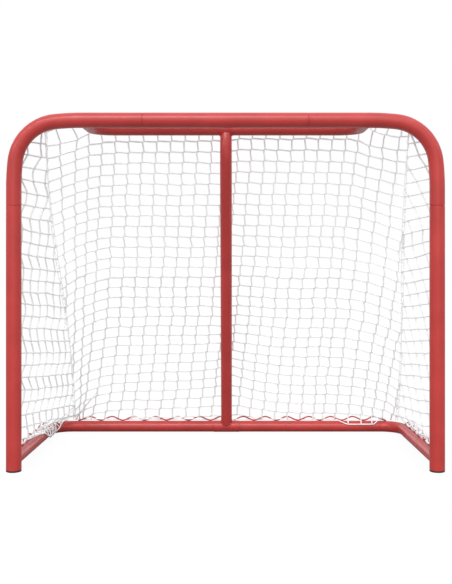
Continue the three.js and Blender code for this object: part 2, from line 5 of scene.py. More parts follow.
import bpy
import numpy as np
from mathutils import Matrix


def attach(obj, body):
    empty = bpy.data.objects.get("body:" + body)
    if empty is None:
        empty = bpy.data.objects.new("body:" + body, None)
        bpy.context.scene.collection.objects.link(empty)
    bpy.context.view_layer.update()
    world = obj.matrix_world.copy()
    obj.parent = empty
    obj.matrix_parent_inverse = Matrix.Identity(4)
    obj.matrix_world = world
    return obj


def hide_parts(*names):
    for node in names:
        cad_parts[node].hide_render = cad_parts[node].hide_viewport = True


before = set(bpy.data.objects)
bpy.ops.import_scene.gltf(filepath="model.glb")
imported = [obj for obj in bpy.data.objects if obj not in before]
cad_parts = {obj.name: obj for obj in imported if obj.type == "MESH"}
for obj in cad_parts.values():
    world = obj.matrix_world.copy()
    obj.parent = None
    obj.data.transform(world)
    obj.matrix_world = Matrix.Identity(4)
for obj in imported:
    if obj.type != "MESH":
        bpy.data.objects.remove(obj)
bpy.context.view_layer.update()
MM = 0.001
SEED = 7
rng = np.random.default_rng(SEED)

# ---- sizes, in millimetres, as in the CAD
WIDTH, DEPTH, HEIGHT = 1370.0, 660.0, 1120.0
FRONT_RADIUS, FRONT_WALL = 24.0, 1.2
REAR_RADIUS, REAR_WALL = 20.0, 1.0
SLEEVE_RADIUS, SLEEVE_WALL = 20.75, 1.0
GAP = 0.3
CAP_FLANGE, CAP_PLUG = 4.5, 18.0
POST_JOINT_Z = 830.0
CROSSBAR_HALF = 258.5
SPIGOT = 50.0
EASE_RADIUS, EASE_DEGREES, CORNER_RADIUS = 800.0, 6.0, 138.0
SHELF_HALF, SHELF_REACH, SHELF_DROP, SHELF_BEND = 445.0, 245.0, 4.0, 70.0
SLEEVE_HALF = 49.0
BASE_FRONT_Z, BASE_CORNER_X, BASE_BEND = 37.0, 649.0, 78.0
SUPPORT_LEAN, SUPPORT_TOP_LEAN, SUPPORT_TOP_OFFSET, SUPPORT_BEND = 21.4, 20.0, 4.5, 140.0
STUB = 62.0
BOLT_HEAD = 5.0
ROD_RADIUS, ROD_PITCH, ROD_LIFT, ROD_LEAN = 2.5, 82.0, 13.0, 15.0
REAR_RODS = {"left": (551.8, 14.0, 6.575), "right": (594.2, 28.0, 6.922)}

POST_X = WIDTH / 2 - FRONT_RADIUS
FRONT_Y = -DEPTH / 2 + FRONT_RADIUS
BAR_Y = DEPTH / 2 - SLEEVE_RADIUS - GAP - BOLT_HEAD
BAR_Z = SLEEVE_RADIUS
CROSSBAR_Z = HEIGHT - FRONT_RADIUS
SHELF_Y = FRONT_Y + SHELF_REACH
SHELF_Z = CROSSBAR_Z - SHELF_DROP
FRONT_BORE = FRONT_RADIUS - FRONT_WALL
REAR_BORE = REAR_RADIUS - REAR_WALL
SLEEVE_BORE = SLEEVE_RADIUS - SLEEVE_WALL

# ---- how finely things are drawn
SIDES = 64
CHAMFER = 1.1
CUT_REACH = 60.0
BOTH_SIDES = (("left", -1), ("right", 1))
X, Y, Z = np.eye(3)


def show(thing):
    bpy.context.scene.collection.objects.link(thing)


def vec(*xyz):
    return np.array(xyz, float)


def unit(v):
    return v / np.linalg.norm(v)


def units(rows):
    return rows / np.linalg.norm(rows, axis=-1, keepdims=True)


def clamp(value, low=0, high=1):
    return min(max(value, low), high)


def turned(v, axis, angle):
    """v turned about a unit axis."""
    cos, sin = math.cos(angle), math.sin(angle)
    return v * cos + np.cross(axis, v) * sin + axis * axis.dot(v) * (1 - cos)


# ---- routes of tube axes
class Route:
    """Stations along straights and round bends, each with its point and heading."""

    def __init__(self, start, heading):
        self.points = [np.array(start, float)]
        self.headings = [unit(np.array(heading, float))]

    def straight(self, length):
        self.points.append(self.points[-1] + self.headings[-1] * length)
        self.headings.append(self.headings[-1])
        return self

    def bend(self, degrees, radius, axis, step=3.0):
        angle = math.radians(degrees)
        point, heading = self.points[-1], self.headings[-1]
        centre = point + unit(np.cross(axis, heading)) * math.copysign(radius, angle)
        count = max(2, math.ceil(abs(degrees) / step))
        for i in range(1, count + 1):
            part = angle * i / count
            self.points.append(centre + turned(point - centre, axis, part))
            self.headings.append(turned(heading, axis, part))
        return self

    def lengths(self):
        steps = np.linalg.norm(np.diff(np.array(self.points), axis=0), axis=1)
        return np.concatenate([[0], np.cumsum(steps)])

    def at(self, distance):
        """Points and headings at distances along the route."""
        along = self.lengths()
        points, headings = np.array(self.points), np.array(self.headings)
        p = np.stack([np.interp(distance, along, points[:, k]) for k in range(3)], -1)
        h = np.stack([np.interp(distance, along, headings[:, k]) for k in range(3)], -1)
        return p, units(h)


def straight(a, b):
    a, b = np.asarray(a, float), np.asarray(b, float)
    return Route(a, b - a).straight(np.linalg.norm(b - a))


def corner_route(sign):
    """The corner tube, with a gentle ease into each end of its bend."""
    turn = -sign
    es, ec = math.sin(math.radians(EASE_DEGREES)), math.cos(math.radians(EASE_DEGREES))
    reach = EASE_RADIUS * (es + 1 - ec) + CORNER_RADIUS * (ec - es)
    return (Route((sign * POST_X, FRONT_Y, POST_JOINT_Z + GAP), Z)
            .straight(CROSSBAR_Z - reach - POST_JOINT_Z - GAP)
            .bend(turn * EASE_DEGREES, EASE_RADIUS, Y, 1)
            .bend(turn * (90 - 2 * EASE_DEGREES), CORNER_RADIUS, Y)
            .bend(turn * EASE_DEGREES, EASE_RADIUS, Y, 1)
            .straight(POST_X - reach - CROSSBAR_HALF - GAP))


def shelf_route():
    tilt = math.atan2(SHELF_DROP, SHELF_REACH)
    back, up = vec(0, math.cos(tilt), -math.sin(tilt)), vec(0, math.sin(tilt), math.cos(tilt))
    arm = math.hypot(SHELF_DROP, SHELF_REACH) - SHELF_BEND
    return (Route((-SHELF_HALF, FRONT_Y, CROSSBAR_Z), back)
            .straight(arm)
            .bend(-90, SHELF_BEND, up, 4)
            .straight(2 * (SHELF_HALF - SHELF_BEND))
            .bend(-90, SHELF_BEND, up, 4)
            .straight(arm))


def base_route(sign):
    start, corner = vec(sign * POST_X, FRONT_Y, BASE_FRONT_Z), vec(sign * BASE_CORNER_X, BAR_Y, BAR_Z)
    heading, inward = unit(corner - start), vec(-sign, 0, 0)
    turn = math.acos(heading.dot(inward))
    tangent = BASE_BEND * math.tan(turn / 2)
    return (Route(start, heading)
            .straight(np.linalg.norm(corner - start) - tangent)
            .bend(math.degrees(turn), BASE_BEND, unit(np.cross(heading, inward)), 4)
            .straight(BASE_CORNER_X - tangent - SLEEVE_HALF - GAP))


def support_route():
    """The centre support: it leans forward from the sleeve, and turns back a little up to the shelf."""
    lean, top_lean = math.tan(math.radians(SUPPORT_LEAN)), math.tan(math.radians(SUPPORT_TOP_LEAN))
    foot, top = vec(0, BAR_Y, BAR_Z), vec(0, SHELF_Y + SUPPORT_TOP_OFFSET, SHELF_Z)
    rise = (foot[1] - top[1] + (top[2] - foot[2]) * top_lean) / (lean + top_lean)
    knee = vec(0, foot[1] - rise * lean, foot[2] + rise)
    turn = SUPPORT_LEAN + SUPPORT_TOP_LEAN
    tangent = SUPPORT_BEND * math.tan(math.radians(turn / 2))
    return (Route(foot, knee - foot)
            .straight(np.linalg.norm(knee - foot) - tangent)
            .bend(-turn, SUPPORT_BEND, X, 2)
            .straight(np.linalg.norm(top - knee) - tangent))


# ---- mesh building
def frames(tangents):
    """A sideways direction at each station that turns as little as it can along the route."""
    sides = [unit(np.cross(tangents[0], Z if abs(tangents[0][2]) < 0.9 else X))]
    for after in tangents[1:]:
        sides.append(unit(sides[-1] - after * after.dot(sides[-1])))
    return np.array(sides)


def circles(tangents, sides):
    """Unit vectors all round each station of a route."""
    side = frames(tangents)
    other = np.cross(tangents, side)
    angle = np.arange(sides) * 2 * np.pi / sides
    return side[:, None] * np.cos(angle)[None, :, None] + other[:, None] * np.sin(angle)[None, :, None]


def spokes(axis, sides):
    """Unit vectors all round an axis."""
    side = unit(np.cross(axis, X if abs(axis[0]) < 0.8 else Z))
    angle = np.arange(sides) * 2 * np.pi / sides
    return np.cos(angle)[:, None] * side + np.sin(angle)[:, None] * np.cross(axis, side)


def band(a, b, sides):
    """Faces between two rings of vertices, which begin at a and at b."""
    return [(a + k, a + (k + 1) % sides, b + (k + 1) % sides, b + k) for k in range(sides)]


class Builder:
    """Gathers closed bodies into one mesh, with a UV map: turns round the body, and millimetres along it."""

    def __init__(self):
        self.verts, self.faces, self.uvs, self.count = [], [], [], 0

    def add(self, verts, faces, uvs=None):
        faces = [tuple(i + self.count for i in f) for f in faces]
        self.verts.append(np.asarray(verts, float))
        self.faces += faces
        self.uvs += uvs if uvs is not None else [(0.0, 0.0)] * sum(len(f) for f in faces)
        self.count += len(verts)

    def tube(self, points, radius, sides):
        """A round closed bar through points."""
        points = np.asarray(points, float)
        steps = np.linalg.norm(np.diff(points, axis=0), axis=1)
        along = np.concatenate([[0], np.cumsum(steps)])
        tangents = units(np.gradient(points, axis=0))
        rings = points[:, None] + circles(tangents, sides) * radius
        tips = [points[0] - tangents[0] * radius * 0.4, points[-1] + tangents[-1] * radius * 0.4]
        end = (len(points) - 1) * sides
        first, last = end + sides, end + sides + 1
        faces, uvs = [], []
        for i in range(len(points) - 1):
            faces += band(i * sides, (i + 1) * sides, sides)
            low, high = along[i], along[i + 1]
            for k in range(sides):
                uvs += [(k / sides, low), ((k + 1) / sides, low), ((k + 1) / sides, high), (k / sides, high)]
        for k in range(sides):
            j = (k + 1) % sides
            faces += [(first, j, k), (last, end + k, end + j)]
            uvs += [(0.0, 0.0)] * 3 + [(0.0, along[-1])] * 3
        self.add(np.vstack([rings.reshape(-1, 3), tips]), faces, uvs)

    def blob(self, centre, radii, axes, ridge, rings=5, sides=8, phase=0.0):
        """A small closed lump, with ridges that wind round it."""
        verts = [(0, 0, 1)]
        for i in range(1, rings):
            polar = math.pi * i / rings
            for k in range(sides):
                turn = 2 * math.pi * k / sides
                swell = 1 + ridge * math.sin(2 * turn + 3 * polar + phase)
                out = math.sin(polar) * swell
                verts.append((out * math.cos(turn), out * math.sin(turn), math.cos(polar) * swell))
        verts.append((0, 0, -1))
        faces = [(0, 1 + k, 1 + (k + 1) % sides) for k in range(sides)]
        for i in range(rings - 2):
            faces += band(1 + (i + 1) * sides, 1 + i * sides, sides)
        a, end = 1 + (rings - 2) * sides, 1 + (rings - 1) * sides
        faces += [(a + k, end, a + (k + 1) % sides) for k in range(sides)]
        self.add(centre + (np.array(verts) * radii) @ np.asarray(axes, float), faces)

    def done(self, name, material, slot, replaces=(), sharp=None):
        mesh = bpy.data.meshes.new(name)
        mesh.from_pydata((np.vstack(self.verts) * MM).tolist(), [], self.faces)
        layer = mesh.uv_layers.new(name="along")
        layer.data.foreach_set("uv", np.array(self.uvs, np.float32).ravel())
        mesh.shade_smooth()
        if sharp:
            mesh.set_sharp_from_angle(angle=math.radians(sharp))
        mesh.materials.append(material)
        mesh.validate()
        piece = bpy.data.objects.new(name, mesh)
        show(piece)
        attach(piece, "root")
        if replaces:
            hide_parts(*replaces)


def to_cylinder(points, direction, on_axis, axis, radius):
    """How far along direction each point has to go to meet a cylinder, from outside it."""
    w = points - on_axis
    w = w - np.outer(w @ axis, axis)
    d = direction - axis * axis.dot(direction)
    a, b, c = d.dot(d), w @ d, (w * w).sum(1) - radius ** 2
    return (-b - np.sqrt(np.maximum(b * b - a * c, 0))) / a


def wall(route, outer, inner, start=None, end=None):
    """A closed tube with a wall. A cut (point, axis, radius) shapes an end to sit on another round tube."""
    points, headings = np.array(route.points), np.array(route.headings)
    ring = circles(headings, SIDES)

    def rings(radius):
        rows = points[:, None] + ring * radius
        for end_of, way, cut in ((0, -headings[0], start), (-1, headings[-1], end)):
            if cut is not None:
                far = rows[end_of] - way * CUT_REACH
                rows[end_of] = far + way * to_cylinder(far, way, *cut)[:, None]
        return rows

    rows = list(rings(outer))
    if start is None:
        rows[0] = rows[0] + headings[0] * CHAMFER
        rows.insert(0, points[0] + ring[0] * (outer - CHAMFER))
    if end is None:
        rows[-1] = rows[-1] - headings[-1] * CHAMFER
        rows.append(points[-1] + ring[-1] * (outer - CHAMFER))
    rows += list(rings(inner)[::-1])
    faces = []
    for i in range(len(rows)):
        faces += band(i * SIDES, (i + 1) % len(rows) * SIDES, SIDES)
    return np.array(rows).reshape(-1, 3), faces


def revolve(profile, origin, axis, sides=SIDES):
    """A closed solid of revolution. The profile runs from axis to axis, or closes on itself, as
    (radius, height)."""
    ring = spokes(axis, sides)
    verts, rows = [], []
    for radius, height in profile:
        start = len(verts)
        if radius == 0:
            verts.append(origin + axis * height)
            rows.append([start] * sides)
        else:
            verts += list(origin + axis * height + ring * radius)
            rows.append(list(range(start, start + sides)))
    faces = []
    for a, b in zip(rows, rows[1:] + (rows[:1] if profile[0][0] else [])):
        for k in range(sides):
            j = (k + 1) % sides
            face = [a[k], a[j], b[j], b[k]]
            face = tuple(v for i, v in enumerate(face) if v != face[i - 1])
            if len(face) > 2:
                faces.append(face)
    return np.array(verts), faces


# ---- materials
def node(tree, kind, **settings):
    n = tree.nodes.new("ShaderNode" + kind)
    for key, value in settings.items():
        if key in n.inputs:
            n.inputs[key].default_value = value
        else:
            setattr(n, key, value)
    return n


def link(source, target):
    source.id_data.links.new(source, target)


def put(shader, values):
    for key, value in values.items():
        shader.inputs[key].default_value = value


def material(name, colour, roughness):
    m = bpy.data.materials.new(name)
    m.use_nodes = True
    shader = m.node_tree.nodes["Principled BSDF"]
    put(shader, {"Base Color": (*colour, 1), "Roughness": roughness})
    return m, m.node_tree, shader


def noise(tree, scale, detail):
    coords = node(tree, "TexCoord")
    n = node(tree, "TexNoise", Scale=scale, Detail=detail)
    link(coords.outputs["Object"], n.inputs["Vector"])
    return n.outputs["Fac"]


def ramp(tree, source, low, high, start, end):
    n = node(tree, "MapRange")
    put(n, {"From Min": low, "From Max": high, "To Min": start, "To Max": end})
    link(source, n.inputs["Value"])
    return n.outputs["Result"]


def mottled(tree, shader, factor, one, two):
    """A base colour that goes from one colour to another with a factor."""
    n = node(tree, "Mix", data_type="RGBA")
    link(factor, n.inputs["Factor"])
    n.inputs[6].default_value = (*one, 1)
    n.inputs[7].default_value = (*two, 1)
    link(n.outputs[2], shader.inputs["Base Color"])


def rough(tree, shader, scale, detail, start, end):
    link(ramp(tree, noise(tree, scale, detail), 0.3, 0.7, start, end), shader.inputs["Roughness"])


def bumped(tree, shader, height, strength, distance, before=None):
    n = node(tree, "Bump", Strength=strength, Distance=distance)
    link(height, n.inputs["Height"])
    if before is not None:
        link(before, n.inputs["Normal"])
    link(n.outputs["Normal"], shader.inputs["Normal"])
    return n.outputs["Normal"]


def paint_material():
    """Red powder coat, with its orange peel and a slow waviness."""
    red, red_dark = (0.455, 0.038, 0.032), (0.395, 0.031, 0.026)
    m, tree, shader = material("red_powder_coat", red, 0.36)
    mottled(tree, shader, ramp(tree, noise(tree, 9, 3), 0.35, 0.65, 0, 1), red, red_dark)
    rough(tree, shader, 38, 5, 0.31, 0.43)
    peel = bumped(tree, shader, noise(tree, 420, 2), 0.10, 0.0006)
    bumped(tree, shader, noise(tree, 60, 3), 0.05, 0.002, peel)
    put(shader, {"IOR": 1.4, "Coat Weight": 0.2, "Coat Roughness": 0.22, "Coat IOR": 1.45})
    return m


def zinc_material():
    m, tree, shader = material("zinc_plate", (0.62, 0.62, 0.6), 0.3)
    put(shader, {"Metallic": 1.0})
    stain = ramp(tree, noise(tree, 260, 4), 0.35, 0.65, 0, 1)
    mottled(tree, shader, stain, (0.66, 0.66, 0.64), (0.5, 0.49, 0.46))
    rough(tree, shader, 500, 4, 0.22, 0.45)
    bumped(tree, shader, noise(tree, 1200, 3), 0.2, 0.0002)
    return m


def plastic_material():
    m, tree, shader = material("black_plastic", (0.012, 0.012, 0.013), 0.5)
    rough(tree, shader, 300, 4, 0.42, 0.62)
    bumped(tree, shader, noise(tree, 900, 3), 0.25, 0.0003)
    return m


def cord_material(name, colour, shade, strands, lay, painted_glow):
    """White cord. Its strands wind round it, by the UV map's turns and millimetres, once in each lay. It
    glows faintly: painted light, an emission that brightens the cord where shade would leave it grey."""
    m, tree, shader = material(name, colour, 0.8)
    coords = node(tree, "UVMap", uv_map="along")
    split = node(tree, "SeparateXYZ")
    link(coords.outputs["UV"], split.inputs["Vector"])
    turns = node(tree, "Math", operation="MULTIPLY_ADD")
    link(split.outputs["Y"], turns.inputs[0])
    turns.inputs[1].default_value = 1 / lay
    link(split.outputs["X"], turns.inputs[2])
    wave = node(tree, "Math", operation="MULTIPLY")
    link(turns.outputs[0], wave.inputs[0])
    wave.inputs[1].default_value = 2 * math.pi * strands
    sine = node(tree, "Math", operation="SINE")
    link(wave.outputs[0], sine.inputs[0])
    height = ramp(tree, sine.outputs[0], -1, 1, 0, 1)
    # The grooves between the strands are painted darker: painted shade where the strands shade each other.
    mottled(tree, shader, height, shade, colour)
    fibre = bumped(tree, shader, noise(tree, 900, 4), 0.3, 0.0004)
    bumped(tree, shader, height, 0.7, 0.0006, fibre)
    rough(tree, shader, 120, 3, 0.7, 0.92)
    # The emission is painted light: a glow that brightens the cord beyond what the lamps give it.
    put(shader, {"Emission Color": (0.97, 0.98, 1.0, 1), "Emission Strength": painted_glow, "IOR": 1.35,
                 "Sheen Weight": 0.5, "Sheen Roughness": 0.6,
                 "Subsurface Weight": 0.7, "Subsurface Scale": 0.006, "Subsurface Radius": (1, 1, 1)})
    return m


PAINT, ZINC, PLASTIC = paint_material(), zinc_material(), plastic_material()
# The twine glows a little, the upper back's copy more and the top's copy most: painted light that makes up
# for the shade under the shelf and crossbar.
TWINE, UPPER_TWINE_PAINTED_LIGHT, TOP_TWINE_PAINTED_LIGHT = [
    cord_material(name, (0.78, 0.78, 0.765), (0.70, 0.70, 0.685), 3, 7.0, painted_glow)
    for name, painted_glow in (("net_twine", 0.11), ("net_twine_upper_painted_light", 0.16), ("net_twine_top_painted_light", 0.24))]
# The border rope glows too: painted light that keeps it white where it is shaded.
ROPE = cord_material("border_rope", (0.95, 0.95, 0.94), (0.86, 0.86, 0.85), 4, 14.0, 0.12)


# ---- frame tubes
def solid_piece(name, solids, finish=("_painted", PAINT, "frame_paint"), sharp=40):
    """A piece made of closed solids that stands for the CAD node of that name."""
    b = Builder()
    for verts, faces in solids:
        b.add(verts, faces)
    ending, material_of, slot = finish
    b.done(name + ending, material_of, slot, (name,), sharp)


def spigot_profile(start, joint):
    """Half a section of a front tube from its start to its joint, and of the spigot beyond it."""
    outer = FRONT_BORE - GAP
    inner = outer - FRONT_WALL
    return [(FRONT_BORE, start), (FRONT_RADIUS - CHAMFER, start), (FRONT_RADIUS, start + CHAMFER),
            (FRONT_RADIUS, joint - CHAMFER), (FRONT_RADIUS - CHAMFER, joint), (outer, joint),
            (outer, joint + SPIGOT), (inner, joint + SPIGOT),
            (inner, joint - FRONT_WALL), (FRONT_BORE, joint - SPIGOT / 5)]


def weld(cut, end, heading, size):
    """A bead of weld with a rippled back, where a rear tube's end meets another tube."""
    point, axis, radius = cut
    fillet, count, section = 2.0, 144, 8
    ring = end + circles(np.array([heading]), count)[0] * (REAR_RADIUS + fillet * 0.4)
    far = ring - heading * CUT_REACH
    points = far + heading * to_cylinder(far, heading, point, axis, radius + fillet * 0.3)[:, None]
    tangents = units(np.roll(points, -1, 0) - np.roll(points, 1, 0))
    out = points - points.mean(0)
    out = units(out - tangents * (out * tangents).sum(1)[:, None])
    other = np.cross(tangents, out)
    angle = np.arange(section) * 2 * np.pi / section
    ripple = 0.16 * np.abs(np.sin(np.arange(count) * np.pi / 3)) + 0.06 * rng.standard_normal(count)
    around = out[:, None] * np.cos(angle)[None, :, None] + other[:, None] * np.sin(angle)[None, :, None]
    verts = points[:, None] + around * (size * (1 + ripple))[:, None, None]
    faces = []
    for i in range(count):
        faces += band((i + 1) % count * section, i * section, section)
    return verts.reshape(-1, 3), faces


shelf, support = shelf_route(), support_route()
corners, bases = {}, {}
for side_name, sign in BOTH_SIDES:
    corners[sign], bases[sign] = corner_route(sign), base_route(sign)
    post_foot = vec(sign * POST_X, FRONT_Y, 0)
    post_profile = spigot_profile(CAP_FLANGE + GAP, POST_JOINT_Z)
    solid_piece(f"post_{side_name}", [revolve(post_profile, post_foot, Z)])
    solid_piece(f"corner_tube_{side_name}", [wall(corners[sign], FRONT_RADIUS, FRONT_BORE)])
    plug, plug_top = FRONT_BORE - GAP, CAP_FLANGE + CAP_PLUG
    cap = revolve([(0, 0), (FRONT_RADIUS - 4, 0), (FRONT_RADIUS - 1.2, 0.3), (FRONT_RADIUS, 1.4),
                   (FRONT_RADIUS, CAP_FLANGE - 0.5), (FRONT_RADIUS - 0.5, CAP_FLANGE),
                   (plug, CAP_FLANGE), (plug - 0.6, plug_top), (0, plug_top)], post_foot, Z)
    solid_piece(f"post_cap_{side_name}", [cap], ("_moulded", PLASTIC, "cap_plastic"))
    spigot_route = straight((sign * (SLEEVE_HALF + 3), BAR_Y, BAR_Z), (sign, BAR_Y, BAR_Z))
    solid_piece(f"base_tube_{side_name}", [
        wall(bases[sign], REAR_RADIUS, REAR_BORE, start=(post_foot, Z, FRONT_RADIUS + GAP)),
        wall(spigot_route, SLEEVE_BORE - GAP, SLEEVE_BORE - GAP - REAR_WALL)])

right_half = [point for point in spigot_profile(0, CROSSBAR_HALF) if point[1] > 0]
left_half = [(radius, -along) for radius, along in right_half[::-1]]
solid_piece("crossbar", [revolve(right_half + left_half, vec(0, FRONT_Y, CROSSBAR_Z), X)])
crossbar_cut = (vec(0, FRONT_Y, CROSSBAR_Z), X, FRONT_RADIUS + GAP)
solid_piece("shelf_hoop", [wall(shelf, REAR_RADIUS, REAR_BORE, crossbar_cut, crossbar_cut)])
sleeve_route = straight((-SLEEVE_HALF, BAR_Y, BAR_Z), (SLEEVE_HALF, BAR_Y, BAR_Z))
solid_piece("support_sleeve", [wall(sleeve_route, SLEEVE_RADIUS, SLEEVE_BORE)])
foot_cut = (vec(0, BAR_Y, BAR_Z), X, SLEEVE_RADIUS + GAP)
top_cut = (vec(0, SHELF_Y, SHELF_Z), X, REAR_RADIUS + GAP)
solid_piece("centre_support", [wall(support, REAR_RADIUS, REAR_BORE, foot_cut, top_cut),
                               weld(foot_cut, support.points[0], -support.headings[0], 1.9),
                               weld(top_cut, support.points[-1], support.headings[-1], 1.5)])
for name in ("shelf_stub_left", "shelf_stub_right", "base_stub_left", "base_stub_right"):
    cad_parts[name].data.materials.clear()
    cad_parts[name].data.materials.append(PAINT)


# ---- bolts
def bolt_piece(name, on_axis, way, seat):
    """A flanged hexagon bolt, whose flange sits at a distance from an axis."""
    sides, length, shank, flange, hex_radius, dish = 36, 14, 3, 7.0, 5.8, 0.5
    origin = on_axis + way * seat
    body = revolve([(0, -length), (shank - 0.4, -length), (shank, 0.6 - length), (shank, 0),
                    (flange - 0.3, 0), (flange, 0.3), (flange, 1.0), (flange - 0.9, 1.5),
                    (hex_radius * 0.8, 1.9), (0, 1.9)], origin, way, sides)
    ring = spokes(way, sides)
    angle = np.arange(sides) * 2 * np.pi / sides
    flat = hex_radius * math.cos(math.pi / 6)
    hexed = flat / np.cos((angle + np.pi / 6) % (np.pi / 3) - np.pi / 6)
    outline = ((1.2, hexed), (BOLT_HEAD - 0.9, hexed), (BOLT_HEAD - 0.35, np.minimum(hexed, flat + 0.25)),
               (BOLT_HEAD, np.full(sides, flat - 0.5)), (BOLT_HEAD - dish, np.full(sides, flat - 1.6)))
    rows = [origin + way * height + ring * radius[:, None] for height, radius in outline]
    last = (len(rows) - 1) * sides
    faces = []
    for i in range(len(rows) - 1):
        faces += band(i * sides, (i + 1) * sides, sides)
    for k in range(sides):
        j = (k + 1) % sides
        faces += [(last + k, last + j, last + sides), (j, k, last + sides + 1)]
    head = np.vstack(rows + [origin + way * (BOLT_HEAD - dish), origin + way * 1.2]), faces
    solid_piece(name, [body, head], ("_zinc", ZINC, "hardware"), 30)


for side_name, sign in BOTH_SIDES:
    shelf_start = vec(sign * SHELF_HALF, FRONT_Y, CROSSBAR_Z)
    base_start, base_heading = bases[sign].points[0], bases[sign].headings[0]
    outward = unit(vec(sign, 0, 0) - base_heading * base_heading[0] * sign)
    stub_middle = FRONT_RADIUS + STUB / 2
    post_joint = vec(sign * POST_X, FRONT_Y, POST_JOINT_Z + SPIGOT / 2)
    crossbar_joint = vec(sign * (CROSSBAR_HALF + SPIGOT / 2), FRONT_Y, CROSSBAR_Z)
    for name, on_axis, way, radius in (
            ("post_joint_bolt", post_joint, Y, FRONT_RADIUS),
            ("crossbar_joint_bolt", crossbar_joint, Y, FRONT_RADIUS),
            ("shelf_bolt", shelf_start + shelf.headings[0] * stub_middle, vec(-sign, 0, 0), REAR_RADIUS),
            ("base_bolt", base_start + base_heading * stub_middle, outward, REAR_RADIUS),
            ("sleeve_bolt", vec(sign * SLEEVE_HALF / 2, BAR_Y, BAR_Z), Y, SLEEVE_RADIUS)):
        bolt_piece(f"{name}_{side_name}", on_axis, way, radius + GAP)


# ---- lacing rods and border ropes
STEPS_PER_WAVE = 20
LEAN = math.radians(ROD_LEAN)
ROPE_HEIGHT, ROPE_SWING, ROPE_RADIUS, SLIPPED_ROPE_RADIUS, ROPE_STEP = 6.0, 5.6, 2.4, 1.8, 8
ROPE_RIPPLES = ((0.7, 11.0, 0), (0.5, 4.7, 1))
SPOT_RADII, SPOT_RISE, SPOT_ASIDE, SPOT_RIDGE = (2.3, 4.6, 1.7), 0.9, 2.2, 0.07
TOUCH = 0.05


def backward(heading):
    return np.broadcast_to(Y, heading.shape)


def back_and_up(heading):
    return np.broadcast_to(vec(0, math.sin(LEAN), math.cos(LEAN)), heading.shape)


def out_and_up(sign):
    def lean(heading):
        out = np.array([unit(vec(sign, 0, 0) - h * h[0] * sign) for h in heading])
        return Z * math.cos(LEAN) + out * math.sin(LEAN)
    return lean


def rod_piece(name, route, start, end, tube_radius, outward, waves=None):
    """A wavy rod along a tube. It is welded to the tube at each trough."""
    waves = waves or max(1, round((end - start) / ROD_PITCH))
    share = np.linspace(0, 1, max(8, round(waves * STEPS_PER_WAVE)) + 1)
    points, headings = route.at(start + (end - start) * share)
    lift = ROD_LIFT * (1 - np.cos(2 * np.pi * waves * share)) / 2
    b = Builder()
    b.tube(points + outward(headings) * (tube_radius + ROD_RADIUS + TOUCH + lift)[:, None], ROD_RADIUS, 12)
    for k in range(math.floor(waves + 0.01) + 1):
        place, heading = route.at(np.array([start + k * (end - start) / waves]))
        up = outward(heading)[0]
        across = np.cross(heading[0], up)
        for side in (-1, 1):
            centre = place[0] + up * (tube_radius + SPOT_RISE) + across * side * SPOT_ASIDE
            b.blob(centre, SPOT_RADII, (across * side, heading[0], up), SPOT_RIDGE, rings=6, sides=10)
    b.done(name + "_painted", PAINT, "frame_paint", (name,))


def weave_points(route, start, end, tube_radius, outward, trough, pitch, turn):
    """A rope that goes under each crest of a rod, and past each trough on the other side from the last."""
    distance = np.linspace(start, end, max(12, round((end - start) / ROPE_STEP)) + 1)
    points, headings = route.at(distance)
    up = outward(headings)
    aside = units(np.cross(headings, up))
    sway = turn * ROPE_SWING * np.cos(np.pi * (distance - trough) / pitch)
    ripple = sum(size * np.sin(distance / length + phase) for size, length, phase in ROPE_RIPPLES)
    return points + up * (tube_radius + ROPE_HEIGHT + ripple)[:, None] + aside * sway[:, None]


def rope_piece(name, points, radius=ROPE_RADIUS):
    b = Builder()
    b.tube(points, radius, 10)
    b.done(name + "_woven", ROPE, "net_twine", (name,))


# Each rod makes a whole number of waves, so the pitch that its rope follows is near ROD_PITCH.
POST_PITCH, CROSSBAR_PITCH, REAR_PITCH, REAR_TROUGH = 82.8, 85.3, 81.8, 61.0
crossbar_line = straight((-CROSSBAR_HALF, FRONT_Y, CROSSBAR_Z), (CROSSBAR_HALF, FRONT_Y, CROSSBAR_Z))
rod_piece("crossbar_rod", crossbar_line, ROD_RADIUS, 2 * CROSSBAR_HALF - ROD_RADIUS, FRONT_RADIUS, backward)
side_ropes = {}
arm_room = REAR_RADIUS + 2 * ROD_RADIUS
bolt_room = SPIGOT / 2 + 7 + 2 * ROD_RADIUS
for side_name, sign in BOTH_SIDES:
    post_line = straight((sign * POST_X, FRONT_Y, 0), (sign * POST_X, FRONT_Y, POST_JOINT_Z))
    post_end = POST_JOINT_Z - ROD_RADIUS
    rod_piece(f"post_rod_{side_name}", post_line, ROD_PITCH, post_end, FRONT_RADIUS, backward)
    corner, base = corners[sign], bases[sign]
    total = corner.lengths()[-1]
    arm = total - (SHELF_HALF - CROSSBAR_HALF)
    rod_piece(f"corner_rod_{side_name}", corner, bolt_room, arm - arm_room, FRONT_RADIUS, backward)
    rod_piece(f"shelf_rod_{side_name}", corner, arm + arm_room, total - bolt_room, FRONT_RADIUS, backward)
    side_length, first_trough = base.lengths()[1], FRONT_RADIUS + ROD_PITCH / 2
    rod_piece(f"side_rod_{side_name}", base, first_trough, side_length, REAR_RADIUS, out_and_up(sign))
    outer, inner, waves = REAR_RODS[side_name]
    bar_line = straight((sign * outer, BAR_Y, BAR_Z), (sign * inner, BAR_Y, BAR_Z))
    rod_piece(f"rear_rod_{side_name}", bar_line, 0, outer - inner, REAR_RADIUS, back_and_up, waves)

    whole = Route((sign * POST_X, FRONT_Y, 0), Z)
    whole.points += corner.points
    whole.headings += corner.headings
    rope_piece(f"border_rope_post_{side_name}", weave_points(
        whole, ROD_PITCH - 20, POST_JOINT_Z + arm - arm_room, FRONT_RADIUS, backward,
        ROD_PITCH, POST_PITCH, sign))
    side_ropes[sign] = weave_points(
        base, FRONT_RADIUS + 16, side_length + 12, REAR_RADIUS, out_and_up(sign),
        first_trough, ROD_PITCH, sign)
    rope_piece(f"border_rope_side_{side_name}", side_ropes[sign])

